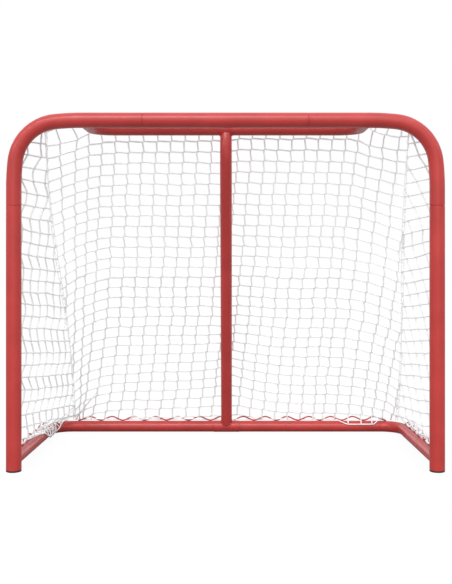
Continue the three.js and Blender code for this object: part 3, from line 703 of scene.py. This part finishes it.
arm_inside = SHELF_HALF - REAR_RADIUS - ROD_RADIUS
between_arms = straight((-arm_inside, FRONT_Y, CROSSBAR_Z), (arm_inside, FRONT_Y, CROSSBAR_Z))
rope_piece("border_rope_crossbar", weave_points(
    between_arms, 0, 2 * arm_inside, FRONT_RADIUS, backward, arm_inside - CROSSBAR_HALF, CROSSBAR_PITCH, 1))

# At the right rear the rope has slipped round the bar towards the mouth.
SLIP_START, SLIP_END, SLIP_IN, SLIP_OUT, SLIP_ANGLE = 395, 575, 60, 30, math.radians(62)
LET_GO, WHOLLY_OFF, SLIPPED_HEIGHT = 0.02, 0.4, 4
rear_half = BASE_CORNER_X - BASE_BEND
rear_line = straight((-rear_half, BAR_Y, BAR_Z), (rear_half, BAR_Y, BAR_Z))
rear_rope = weave_points(
    rear_line, 0, 2 * rear_half, REAR_RADIUS, back_and_up, rear_half - REAR_TROUGH, REAR_PITCH, -1)
rear_x = rear_rope[:, 0]
slip = np.clip(np.minimum((rear_x - SLIP_START) / SLIP_IN, (SLIP_END - rear_x) / SLIP_OUT), 0, 1)
slip = SLIP_ANGLE * slip * slip * (3 - 2 * slip)
reach = REAR_RADIUS + SLIPPED_HEIGHT
slipped = np.stack([rear_x, BAR_Y - reach * np.sin(slip), BAR_Z + reach * np.cos(slip)], -1)
off = np.where(slip > LET_GO, np.minimum(slip / WHOLLY_OFF, 1), 0)[:, None]
rear_rope = slipped * off + rear_rope * (1 - off)
rope_piece("border_rope_rear", rear_rope, SLIPPED_ROPE_RADIUS)


# ---- net: where it hangs
TWINE_RADIUS = 2.8
CELL_HEIGHT = 39.4
ROW_PITCH, TOP_ROW = 37.9, 1049.0
LEFT_PITCH, RIGHT_PITCH, SQUEEZED_BEYOND, SQUEEZE = 47.2, 45.3, 415, 0.82
LEFT_SHIFT, RIGHT_SHIFT = 1, 2.5
SHEAR, KINK, CURL, CURL_SLOPE = 0.085, 520, 17, 0.06
FLANK_EASE, FLANK_WIDTH, BY_SEAM_FROM, BY_SEAM_WIDTH = 0.8, 120, 400, 70
EVEN_DROOP, EVEN_WIDTH = {-1: -16, 1: -24}, 200
SEAM_DROOP, SEAM_DROOP_TOP, SEAM_DROOP_WIDTH = {-1: 95, 1: 75}, {-1: -5, 1: -20}, 45
SUPPORT_LIFT, SUPPORT_WIDTH, SUPPORT_LIFT_AT, SUPPORT_LIFT_RANGE = 26, 110, 130, 170
ROUNDING = 60.0
OVER_BAR, OVER_BAR_TURN = 34.0, math.radians(80)
FRONT_DIP = 14.0
SHOULDER_START, SHOULDER_WIDTH, SHOULDER_LENGTH = 12, 110.0, 1118.0
FOOT_Y, FOOT_Z = BAR_Y + 7.5, BAR_Z + REAR_RADIUS + 6.0
SHELF_TOP = SHELF_Z + REAR_RADIUS + 2.0
NET_FRONT_Y = FRONT_Y + FRONT_RADIUS + 6.0
BACK_TOP = vec(0, SHELF_Y + REAR_RADIUS + 2.0, SHELF_Z + 3)
BACK_LENGTH = math.hypot(BACK_TOP[1] - FOOT_Y, BACK_TOP[2] - FOOT_Z)
TOP_LENGTH = (SHELF_Y - NET_FRONT_Y) + OVER_BAR - 8
SEAMS = {-1: (vec(-567, NET_FRONT_Y, 1072), vec(-567, BAR_Y - 8, FOOT_Z + 2)),
         1: (vec(578, NET_FRONT_Y, 1066), vec(632, BAR_Y - 26, FOOT_Z + 2))}
SEAM_BOW = {-1: 10.0, 1: 5.0}
SEAM_LENGTH = {sign: float(np.linalg.norm(top - foot)) for sign, (top, foot) in SEAMS.items()}


def tube_x(z, sign):
    """Where the front frame's tube is at a height."""
    points = np.array(corners[sign].points)
    if z <= points[0][2]:
        return sign * POST_X
    return float(np.interp(z, points[:, 2], points[:, 0]))


def tube_z(x):
    points = np.array(corners[-1].points)
    return float(np.interp(-abs(x), points[:, 0], points[:, 2]))


def seam_at(sign, share):
    """A point on a seam, from its foot up. It isn't quite straight."""
    top, foot = SEAMS[sign]
    share = clamp(share)
    return foot + (top - foot) * share + X * SEAM_BOW[sign] * np.sin(2 * np.pi * share)


def seam_x(sign, s):
    return float(seam_at(sign, s / SEAM_LENGTH[sign])[0])


def side_of(x):
    return -1 if x < 0 else 1


def strip_top(x):
    """The length of the strip from the rear bar to the front tube, at a distance across."""
    beyond = abs(x) - SHELF_HALF - SHOULDER_START
    if beyond <= 0:
        return BACK_LENGTH + TOP_LENGTH
    edge = min(beyond / SHOULDER_WIDTH, 1)
    return SHOULDER_LENGTH * (1 - edge) + SEAM_LENGTH[side_of(x)] * edge


def centre_path(x, s):
    """The strip between the shelf's arms: up the back, round the shelf's tube, forward to the crossbar."""
    if s <= BACK_LENGTH:
        share = s / BACK_LENGTH
        return vec(x, FOOT_Y + (BACK_TOP[1] - FOOT_Y) * share, FOOT_Z + (BACK_TOP[2] - FOOT_Z) * share)
    s -= BACK_LENGTH
    if s < OVER_BAR:
        turn = s / OVER_BAR * OVER_BAR_TURN
        back, up = (REAR_RADIUS + 2) * math.cos(turn), (REAR_RADIUS - 1) * math.sin(turn)
        return vec(x, SHELF_Y + back, SHELF_Z + 3 + up)
    share = min((s - OVER_BAR) / (TOP_LENGTH - OVER_BAR), 1)
    return vec(x, SHELF_Y + 4 + (NET_FRONT_Y - SHELF_Y - 4) * share, SHELF_TOP - FRONT_DIP * share)


def strip_point(x, s):
    """A point of the strip that covers the back and top, from the rear bar up and over the shelf."""
    sign = side_of(x)
    beyond = abs(x) - SHELF_HALF
    if beyond <= -ROUNDING:
        return centre_path(x, s)
    if beyond < ROUNDING:
        beyond = (beyond + ROUNDING) ** 2 / (4 * ROUNDING)
    edge = min(beyond / (abs(seam_x(sign, s)) - SHELF_HALF), 1)
    within = sign * min(abs(x), SHELF_HALF)
    up_back = min(s, BACK_LENGTH)
    line = centre_path(within, up_back) * (1 - edge) + seam_at(sign, up_back / SEAM_LENGTH[sign]) * edge
    if s <= BACK_LENGTH:
        return vec(x, line[1], line[2])
    if abs(x) <= SHELF_HALF:
        place = centre_path(x, s)
    else:
        share = min((s - BACK_LENGTH) / max(strip_top(x) - BACK_LENGTH, 1), 1)
        front = vec(x, NET_FRONT_Y, min(tube_z(x), SHELF_TOP - FRONT_DIP))
        place = line + (front - line) * share
    over_arm = math.sqrt(max((REAR_RADIUS + 3) ** 2 - (abs(x) - SHELF_HALF) ** 2, 0))
    return vec(x, place[1], max(place[2], SHELF_Z + over_arm) if over_arm else place[2])


def column_top(i):
    """Where a column of meshes crosses the top row. The meshes are squeezed beyond the shelf's corners."""
    x = i * LEFT_PITCH - LEFT_SHIFT if i <= 0 else i * RIGHT_PITCH - RIGHT_SHIFT
    squeezed = SQUEEZED_BEYOND + (abs(x) - SQUEEZED_BEYOND) * SQUEEZE
    return math.copysign(squeezed, x) if abs(x) > SQUEEZED_BEYOND else x


def column_x(i, s):
    """The whole strip was laced askew: its columns wander to the left on their way down."""
    x = column_top(i)
    in_flank = clamp((abs(x) - SHELF_HALF) / FLANK_WIDTH)
    by_seam = clamp((abs(x) - BY_SEAM_FROM) / BY_SEAM_WIDTH)
    upper, lower = TOP_ROW - max(s, KINK), KINK - min(s, KINK)
    curl = (CURL - CURL_SLOPE * x) * (1 - by_seam) * max(0, 1 - s / KINK) ** 2
    return x - SHEAR * (upper * (1 - FLANK_EASE * in_flank) + lower) - curl


def droop(x, s):
    """How much lower a row lies than the top row's pitch says. It hangs down towards each seam, and is
    held up at the foot of the centre support."""
    low, sign = 1 - s / TOP_ROW, side_of(x)
    near = max(abs(seam_x(sign, s)) - abs(x), 0)
    even = EVEN_DROOP[sign] * (1 - low * clamp(x / EVEN_WIDTH))
    seam = SEAM_DROOP[sign] * low + SEAM_DROOP_TOP[sign]
    beside, above = abs(x) / SUPPORT_WIDTH, (s - SUPPORT_LIFT_AT) / SUPPORT_LIFT_RANGE
    return even + seam * math.exp(-near / SEAM_DROOP_WIDTH) - SUPPORT_LIFT * math.exp(-beside - above ** 2)


# ---- net: its knots and lines
class Net:
    """Knots on a surface, joined by lines of twine. Some are tied to the frame."""

    def __init__(self, surface):
        self.surface = surface
        self.knots, self.fixed, self.lines, self.is_row = [], [], [], []

    def knot(self, place, fixed):
        self.knots.append(np.asarray(place, float))
        self.fixed.append(fixed)
        return len(self.knots) - 1

    def line(self, run, is_row):
        self.lines.append(run)
        self.is_row.append(is_row)

    def fill(self, columns, rows, place, inside, border):
        """Lays a grid of twine over a panel. place gives the surface's own coordinates of a grid point,
        inside tells the panel from what is beyond it, and border gives where a line that leaves it is
        tied."""
        grid = {(i, j): place(i, j) for i in columns for j in rows}
        index = {key: self.knot(self.surface(*at), False) for key, at in grid.items() if inside(*at)}

        def tie(key_in, key_out):
            low, high = 0.0, 1.0
            a, b = np.array(key_in, float), np.array(key_out, float)
            for _ in range(14):
                middle = (low + high) / 2
                if inside(*place(*(a + (b - a) * middle))):
                    low = middle
                else:
                    high = middle
            return self.knot(border(*place(*(a + (b - a) * low))), True)

        for is_row in (False, True):
            for a in rows if is_row else columns:
                run = []
                for b in columns if is_row else rows:
                    key, before = ((b, a), (b - 1, a)) if is_row else ((a, b), (a, b - 1))
                    if key in index:
                        if not run:
                            run.append(tie(key, before))
                        run.append(index[key])
                    elif run:
                        self.line(run + [tie(before, key)], is_row)
                        run = []
                if run:
                    self.line(run, is_row)


def row_wander(seed, size):
    """A small random distance that goes smoothly from one row to the next."""
    table = np.random.default_rng(seed).standard_normal(400) * size
    return lambda k: float(np.interp(k + 100, np.arange(400), table))


def strip_net():
    wander_x, wander_s = row_wander(11, 1.8), row_wander(12, 1.0)

    def place(i, j):
        s = TOP_ROW - ROW_PITCH * j
        x = column_x(i, s)
        s -= droop(x, s) + wander_s(i * 0.6 + j * 0.9)
        return column_x(i, s) + wander_x(j), s

    def inside(x, s):
        if abs(x) > SHELF_HALF and strip_point(x, s)[2] > tube_z(x) - 4:
            return False
        return seam_x(-1, s) < x < seam_x(1, s) and 4 < s < strip_top(x) - 3

    def border(x, s):
        if s > 5:
            return strip_point(x, s)
        return vec(x, *[np.interp(x, rear_rope[:, 0], rear_rope[:, k]) for k in (1, 2)])

    net = Net(strip_point)
    net.fill(range(-14, 18), range(-9, 29), place, inside, border)
    return net


LEFT_SWAY = (-20, -34, 4, 25, -14, 20, 33, 2, -9, 14, 18, -1, 0, 6, -15, -6, -9, -20, 3, 10, -12, -17, 4)
SIDE_FOOT, SIDE_SLOPE, MISLAID_BELOW = 60, 0.118, 735


def side_column(sign, i, j, z):
    """How far behind the post a column is. The left panel's columns fan out and sway with each row's
    lacing. The right panel's slant forward on their way down, and one row was laced half a mesh back."""
    low = clamp(1 - z / 1072)
    if sign < 0:
        c = (44 + 16 * low ** 1.2) * (i + 0.93) - 8 * (1 - low)
        sway = np.interp(j, np.arange(1, 1 + len(LEFT_SWAY)), LEFT_SWAY)
        return c + sway * (1 - 0.5 * clamp(c / 600))
    mislaid = 0.45 if z < MISLAID_BELOW else 0
    return (55 + 66 * low ** 1.5) * (i + 0.35 + (z - 425) / 126 + mislaid)


def side_net(sign):
    top, foot = SEAMS[sign]
    wander_x, wander_z = row_wander(21 + sign, 2.0), row_wander(31 + sign, 1.2)

    def slice_at(z):
        """The panel's ends at a height, how far the front one is from the post, and how far apart they
        are."""
        seam = seam_at(sign, (z - foot[2]) / (top[2] - foot[2]))
        front = vec(tube_x(z, sign), NET_FRONT_Y, z)
        return front, seam, abs(POST_X - abs(front[0])), math.hypot(seam[0] - front[0], seam[1] - front[1])

    def surface(c, z):
        front, seam, offset, span = slice_at(z)
        p = front + (seam - front) * (c - offset) / max(span, 1)
        p[2] = z
        return p

    def place(i, j):
        z = SIDE_FOOT + (j + 0.8) * CELL_HEIGHT
        c = side_column(sign, i, j, z) + wander_x(j)
        return c, z - (SIDE_SLOPE * c - wander_z(i))

    def bottom(c):
        return 63.0 - 16.0 * clamp(c / 600)

    def inside(c, z):
        if z >= top[2] - 3 or z <= bottom(c):
            return False
        front, seam, offset, span = slice_at(z)
        return offset + 3 < c < offset + span and (seam[0] - front[0]) * -sign > 0

    def border(c, z):
        p, rope = surface(c, z), side_ropes[sign]
        if z > bottom(c) + 1:
            return p
        return vec(*[np.interp(p[1], rope[:, 1], rope[:, k]) for k in range(3)])

    net = Net(surface)
    net.fill(range(-9, 18), range(-2, 30), place, inside, border)
    return net


SHELF_LINE = np.array(shelf.points)
NEAR_SHELF = 1050


def clear_of_shelf(points, gap):
    """Moves points out of the shelf's tube."""
    a, ab = SHELF_LINE[:-1], np.diff(SHELF_LINE, axis=0)
    for i, p in enumerate(points):
        share = np.clip(((p - a) * ab).sum(1) / (ab * ab).sum(1), 0, 1)
        near = a + ab * share[:, None]
        distance = np.linalg.norm(p - near, axis=1)
        k = distance.argmin()
        if distance[k] < REAR_RADIUS + gap:
            points[i] = near[k] + (p - near[k]) / max(distance[k], 1e-6) * (REAR_RADIUS + gap)
    return points


def relax(net, rounds, tension, jitter, weight=0.02):
    """Lets the knots settle under the pull of the twine and their own weight."""
    knots, fixed = np.array(net.knots), np.array(net.fixed)
    pairs = np.array([pair for line in net.lines for pair in zip(line[:-1], line[1:])])
    a, b = pairs[:, 0], pairs[:, 1]
    rest = np.linalg.norm(knots[a] - knots[b], axis=1)
    rest *= tension * (1 + jitter * np.random.default_rng(SEED).standard_normal(len(rest)))
    degree = np.bincount(pairs.ravel(), minlength=len(knots))[:, None]
    for step in range(rounds):
        gap = knots[b] - knots[a]
        length = np.linalg.norm(gap, axis=1)
        pull = gap * (np.maximum(length - rest, 0) / np.maximum(length, 1e-6))[:, None]
        move = np.zeros_like(knots)
        np.add.at(move, a, pull)
        np.add.at(move, b, -pull)
        move = move / np.maximum(degree, 1) * 0.9
        move[:, 2] -= weight
        move[fixed] = 0
        knots += move
        if step % 10 == 9:
            near = ~fixed & (knots[:, 2] > NEAR_SHELF)
            knots[near] = clear_of_shelf(knots[near], TWINE_RADIUS + 0.5)
    net.knots = list(knots)


# ---- net: its twine
KNOT_WIDTH, KNOT_HEIGHT, KNOT_STEP, KNOT_RISE = 4.2, 2.6, 2.3, 1.3
KNOT_RADII, TIE_RADII = (5.0, 3.4, 3.4), (2.9, 2.9, 2.9)


def smooth_line(points, per_edge):
    """A smooth curve through points."""
    p = np.vstack([2 * points[0] - points[1], points, 2 * points[-1] - points[-2]])
    curve = []
    for i in range(1, len(p) - 2):
        for k in range(per_edge):
            t = k / per_edge
            curve.append(0.5 * (2 * p[i] + (p[i + 1] - p[i - 1]) * t
                                + (2 * p[i - 1] - 5 * p[i] + 4 * p[i + 1] - p[i + 2]) * t * t
                                + (3 * p[i] - p[i - 1] - 3 * p[i + 1] + p[i + 2]) * t ** 3))
    curve.append(p[-2])
    return np.array(curve)


def lay_twine(b, points):
    curve = smooth_line(points, 2)
    high = curve[:, 2] > NEAR_SHELF
    if high.any():
        curve[high] = clear_of_shelf(curve[high], TWINE_RADIUS + 0.2)
    b.tube(curve, TWINE_RADIUS, 6)


def random_axes(source):
    q, _ = np.linalg.qr(source.standard_normal((3, 3)))
    return q * np.sign(np.linalg.det(q))


def directions(net, knots):
    """Which way the rows and the columns run at each knot."""
    ways = {False: np.zeros_like(knots), True: np.zeros_like(knots)}
    for line, is_row in zip(net.lines, net.is_row):
        way = np.gradient(knots[line], axis=0)
        ways[is_row][line] = way / (np.linalg.norm(way, axis=1, keepdims=True) + 1e-9)
    return ways[True], ways[False]


def net_piece(net, name, replaced, choose=lambda point: True, flip=1.0, twine=TWINE):
    """Tubes for the twine. A knot is as wide as two twines, so each twine leaves it a step aside from
    where it came in."""
    b = Builder()
    knots = np.array(net.knots)
    across, up = directions(net, knots)
    source = np.random.default_rng(5)
    used = set()
    for line, is_row in zip(net.lines, net.is_row):
        path, last, ways = [], None, across if is_row else up
        for k in line + [None]:
            if k is not None and choose(knots[k]):
                used.add(k)
                if is_row:
                    step = across[k] * KNOT_WIDTH + up[k] * KNOT_RISE * flip
                else:
                    step = up[k] * KNOT_HEIGHT + across[k] * KNOT_STEP * flip
                ends = [knots[k]] if net.fixed[k] else [knots[k] - step, knots[k] + step]
                if path:
                    reach = np.linalg.norm(ends[0] - path[-1])
                    bend = (ways[last] - ways[k]) * reach / 8
                    path.append((path[-1] + ends[0]) / 2 + bend + source.normal(0, 0.5, 3))
                path += ends
                last = k
            else:
                if len(path) > 2:
                    lay_twine(b, np.array(path))
                path = []
    for k in sorted(used):
        if net.fixed[k]:
            b.blob(knots[k], TIE_RADII, random_axes(source), 0.1, sides=7)
            continue
        long = unit(across[k] + up[k] * 0.4 * flip)
        normal = unit(np.cross(long, up[k]))
        axes = (long, np.cross(normal, long), normal)
        b.blob(knots[k], KNOT_RADII, axes, 0.08, phase=float(source.random() * 6))
    b.done(name, twine, "net_twine", replaced)


def seam_piece(side_name, sign):
    """Two cords along a seam, and a thin one laced round them."""
    top, foot = SEAMS[sign]
    along = unit(foot - top)
    aside = unit(np.cross(along, Y))
    third = np.cross(along, aside)

    def wound(count, radius, pitch, phase):
        share = np.linspace(1, 0, count)
        line = np.array([seam_at(sign, t) for t in share])
        turn = 2 * np.pi * share * SEAM_LENGTH[sign] / pitch + phase
        return line + aside * (radius * np.cos(turn))[:, None] + third * (radius * np.sin(turn))[:, None]

    b = Builder()
    for phase in (0, np.pi):
        b.tube(wound(140, 4.4, 1400, phase), 1.3, 8)
    b.tube(wound(560, 4.5, CELL_HEIGHT, 0), 0.7, 6)
    b.done(f"net_seam_{side_name}_laced", ROPE, "net_twine", (f"net_seam_{side_name}",))


strip = strip_net()
relax(strip, 120, 0.985, 0.025)
net_piece(strip, "net_back_lower", ("net_back_panel", "net_flank_left", "net_flank_right"),
          lambda p: p[2] < 600, -1.0)
# The upper back and the top use the twine copies with more glow: painted light against the shade under the
# shelf.
net_piece(strip, "net_back_upper", (), lambda p: 560 < p[2] < 1080, -1.0, UPPER_TWINE_PAINTED_LIGHT)
net_piece(strip, "net_top", ("net_top_panel", "net_shoulder_left", "net_shoulder_right"),
          lambda p: p[2] > 1040, -1.0, TOP_TWINE_PAINTED_LIGHT)
for side_name, sign in BOTH_SIDES:
    side = side_net(sign)
    relax(side, 60, 0.99, 0.03)
    net_piece(side, f"net_side_{side_name}_knotted",
              (f"net_side_{side_name}", f"net_side_upper_{side_name}"), flip=-0.25 * sign)
    seam_piece(side_name, sign)


# ---- slack net at the rear corners
SKIN = REAR_RADIUS + TWINE_RADIUS
WRAP_START, WRAP_LENGTH, WRAP_REACH, WRAP_TURN_UP = 285.0, 345.0, 46.0, 14.0
WRAP_TWINE, EDGE_TWINE, HEM_TWINE, FOLD_TWINE = 1.9, 2.3, 2.0, 1.7
FOLDS, FOLD_PITCH, FOLD_REACH = 10, 46, 18


def on_base(sign, distance, around, radius):
    """A point on the base tube's skin, an arc's length round it from its top towards the goal's mouth."""
    p, h = bases[sign].at(np.atleast_1d(distance))
    inward = units(np.cross(h, Z) * -sign)
    up = np.cross(inward, h) * -sign
    angle = np.atleast_1d(around) / REAR_RADIUS
    radius = np.atleast_1d(radius)[:, None]
    return p + (up * np.cos(angle)[:, None] + inward * np.sin(angle)[:, None]) * radius


def wrap_edge(u):
    t = np.clip((u - WRAP_START) / WRAP_LENGTH, 0, 1)
    return WRAP_REACH * np.sin(np.pi * t ** 1.5)


def slack_twine(b, start, end, sag):
    share = np.linspace(0, 1, 9)[:, None]
    b.tube(smooth_line(start + (end - start) * share - np.sin(np.pi * share) * Z * sag, 3), WRAP_TWINE, 6)


def wrap_piece():
    """Net pulled over the left rear corner: two crossing sets of twine, an edge, a hem and slack ends."""
    b = Builder()
    source = np.random.default_rng(17)
    for slope, spacing in ((0.75, 30.0), (-0.6, 34.0)):
        for k in range(-4, int(WRAP_LENGTH / spacing) + 5):
            begin = WRAP_START + (k + 0.5) * spacing + source.normal(0, 2.0)
            around = np.arange(-WRAP_TURN_UP, WRAP_REACH + 2, 4.0)
            u = begin + slope * (around + WRAP_TURN_UP) + np.cumsum(source.normal(0, 0.9, len(around)))
            within = (u > WRAP_START) & (u < WRAP_START + WRAP_LENGTH)
            keep = np.flatnonzero(within & (around <= wrap_edge(u)))
            if len(keep) < 3:
                continue
            u, around = u[keep[0]:keep[-1] + 1], around[keep[0]:keep[-1] + 1]
            lift = np.where(around < 0, 7 * (around / WRAP_TURN_UP) ** 2, 0) + source.uniform(0.2, 1.8)
            b.tube(smooth_line(on_base(-1, u, around, SKIN + lift), 2), WRAP_TWINE, 6)
            for i in range(2, len(u), 5):
                spot = on_base(-1, u[i], around[i], SKIN + 1.0)[0]
                b.blob(spot, (3.3, 2.9, 3.6), random_axes(source), 0.14, sides=7)
    u = np.linspace(WRAP_START - 6, WRAP_START + WRAP_LENGTH + 6, 90)
    b.tube(on_base(-1, u, wrap_edge(u) + 1.5 * np.sin(u / 9.0), SKIN + 1.2), EDGE_TWINE, 8)
    b.tube(on_base(-1, u, -4 + 5 * np.sin(u / 21.0), SKIN + 3.5 + 1.5 * np.sin(u / 8.0)), HEM_TWINE, 8)
    foot = SEAMS[-1][1]
    for k, back in enumerate((30, 90, 170)):
        start = foot + vec(source.normal(0, 3), source.normal(0, 3), 18 + 16 * k)
        slack_twine(b, start, side_ropes[-1][-back // 8 - 2], 6 + 2 * k)
    for k, (x, s) in enumerate(((-478, 118), (-500, 92), (-520, 70))):
        slack_twine(b, foot + vec(4 * k, -4, 8 + 3 * k), strip_point(x, s) - Y * 2, 5)
    b.done("net_corner_wrap_left", TWINE, "net_twine")


def folds_piece():
    """Slack net that arches over the right side tube, one fold behind another."""
    b = Builder()
    share = np.linspace(0, 1, 17)
    for k in range(FOLDS):
        swell = (19 + 2 * math.sin(2.1 * k)) * np.sin(np.pi * share) ** 0.8
        u = bases[1].lengths()[1] - 24 - FOLD_PITCH * k + FOLD_REACH * share
        b.tube(on_base(1, u, -REAR_RADIUS * (0.12 + 1.5 * share), REAR_RADIUS + 2.5 + swell), FOLD_TWINE, 6)
    b.done("net_folds_right", TWINE, "net_twine")


wrap_piece()
folds_piece()


# ---- stage, light and camera
def seen_by_camera(tree, for_others, for_camera, output):
    """Shows one shader to the camera and another to everything that the light bounces off."""
    mix, path = node(tree, "MixShader"), node(tree, "LightPath")
    link(path.outputs["Is Camera Ray"], mix.inputs["Fac"])
    link(for_others, mix.inputs[1])
    link(for_camera, mix.inputs[2])
    link(mix.outputs[0], output.inputs["Surface"])


def stage_floor(half=40.0):
    """A pale floor that looks white with faint shadows, and throws little light up at the goal."""
    mesh = bpy.data.meshes.new("floor")
    around = ((-1, -1), (1, -1), (1, 1), (-1, 1))
    mesh.from_pydata([(x * half, y * half, 0) for x, y in around], [], [(0, 1, 2, 3)])
    m, tree, shader = material("floor_pale", (0.8, 0.8, 0.8), 0.9)
    put(shader, {"Specular IOR Level": 0})
    glow = node(tree, "Emission", Color=(1, 1, 1, 1), Strength=1.0)
    pale = node(tree, "MixShader", Fac=0.94)
    link(shader.outputs[0], pale.inputs[1])
    link(glow.outputs[0], pale.inputs[2])
    dim = node(tree, "BsdfDiffuse", Color=(0.30, 0.30, 0.30, 1))
    seen_by_camera(tree, dim.outputs[0], pale.outputs[0], tree.nodes["Material Output"])
    mesh.materials.append(m)
    floor = bpy.data.objects.new("floor", mesh)
    show(floor)


def studio_world():
    """White behind the goal. What lights it is brighter above than at the sides, like softboxes overhead."""
    world = bpy.data.worlds.new("studio")
    bpy.context.scene.world = world
    world.use_nodes = True
    tree = world.node_tree
    tree.nodes.clear()
    output = node(tree, "OutputWorld")
    white = node(tree, "Background", Color=(1, 1, 1, 1), Strength=1.0)
    room = node(tree, "Background", Strength=1.06)
    coords, split, blend = node(tree, "TexCoord"), node(tree, "SeparateXYZ"), node(tree, "ValToRGB")
    stops = blend.color_ramp.elements
    stops[0].position, stops[0].color = 0.0, (0.66, 0.66, 0.67, 1)
    stops[1].position, stops[1].color = 1.0, (1.06, 1.09, 1.16, 1)
    stops.new(0.35).color = (0.80, 0.81, 0.84, 1)
    link(coords.outputs["Generated"], split.inputs[0])
    link(split.outputs["Z"], blend.inputs["Fac"])
    link(blend.outputs["Color"], room.inputs["Color"])
    seen_by_camera(tree, room.outputs[0], white.outputs[0], output)


def sun(name, azimuth, elevation, spread, strength, colour):
    data = bpy.data.lights.new(name, "SUN")
    data.angle, data.energy, data.color = math.radians(spread), strength, colour
    lamp = bpy.data.objects.new(name, data)
    show(lamp)
    lamp.rotation_euler = (math.radians(90 - elevation), 0, math.radians(azimuth))


stage_floor()
studio_world()
for side_name, sign in BOTH_SIDES:
    sun(f"{side_name}_backlight", 152 * sign, 13, 26, 0.28, (1.0, 0.98, 1.0))
sun("key", -8, 48, 24, 1.25, (0.95, 0.97, 1.0))
sun("front_fill", 0, 14, 50, 0.6, (1.0, 1.0, 1.0))
for side_name, strength, places in (("left", 0.24, ((-53, 18), (-47, 32), (-34, 42))),
                                    ("right", 0.18, ((70, 21), (66, 39), (52, 55)))):
    for k, (azimuth, elevation) in enumerate(places):
        sun(f"{side_name}_softbox_{k}", azimuth, elevation, 5, strength, (0.97, 0.98, 1.0))

camera_data = bpy.data.cameras.new("camera")
camera = bpy.data.objects.new("camera", camera_data)
show(camera)
camera.location = (0.020, -3.395, 0.751)
camera.rotation_euler = (math.radians(90), 0, 0)
camera_data.lens, camera_data.sensor_width = 61.0, 36.0
camera_data.shift_x, camera_data.shift_y = -0.0101, -0.1048
bpy.context.scene.camera = camera
bpy.context.scene.view_settings.view_transform = "Standard"
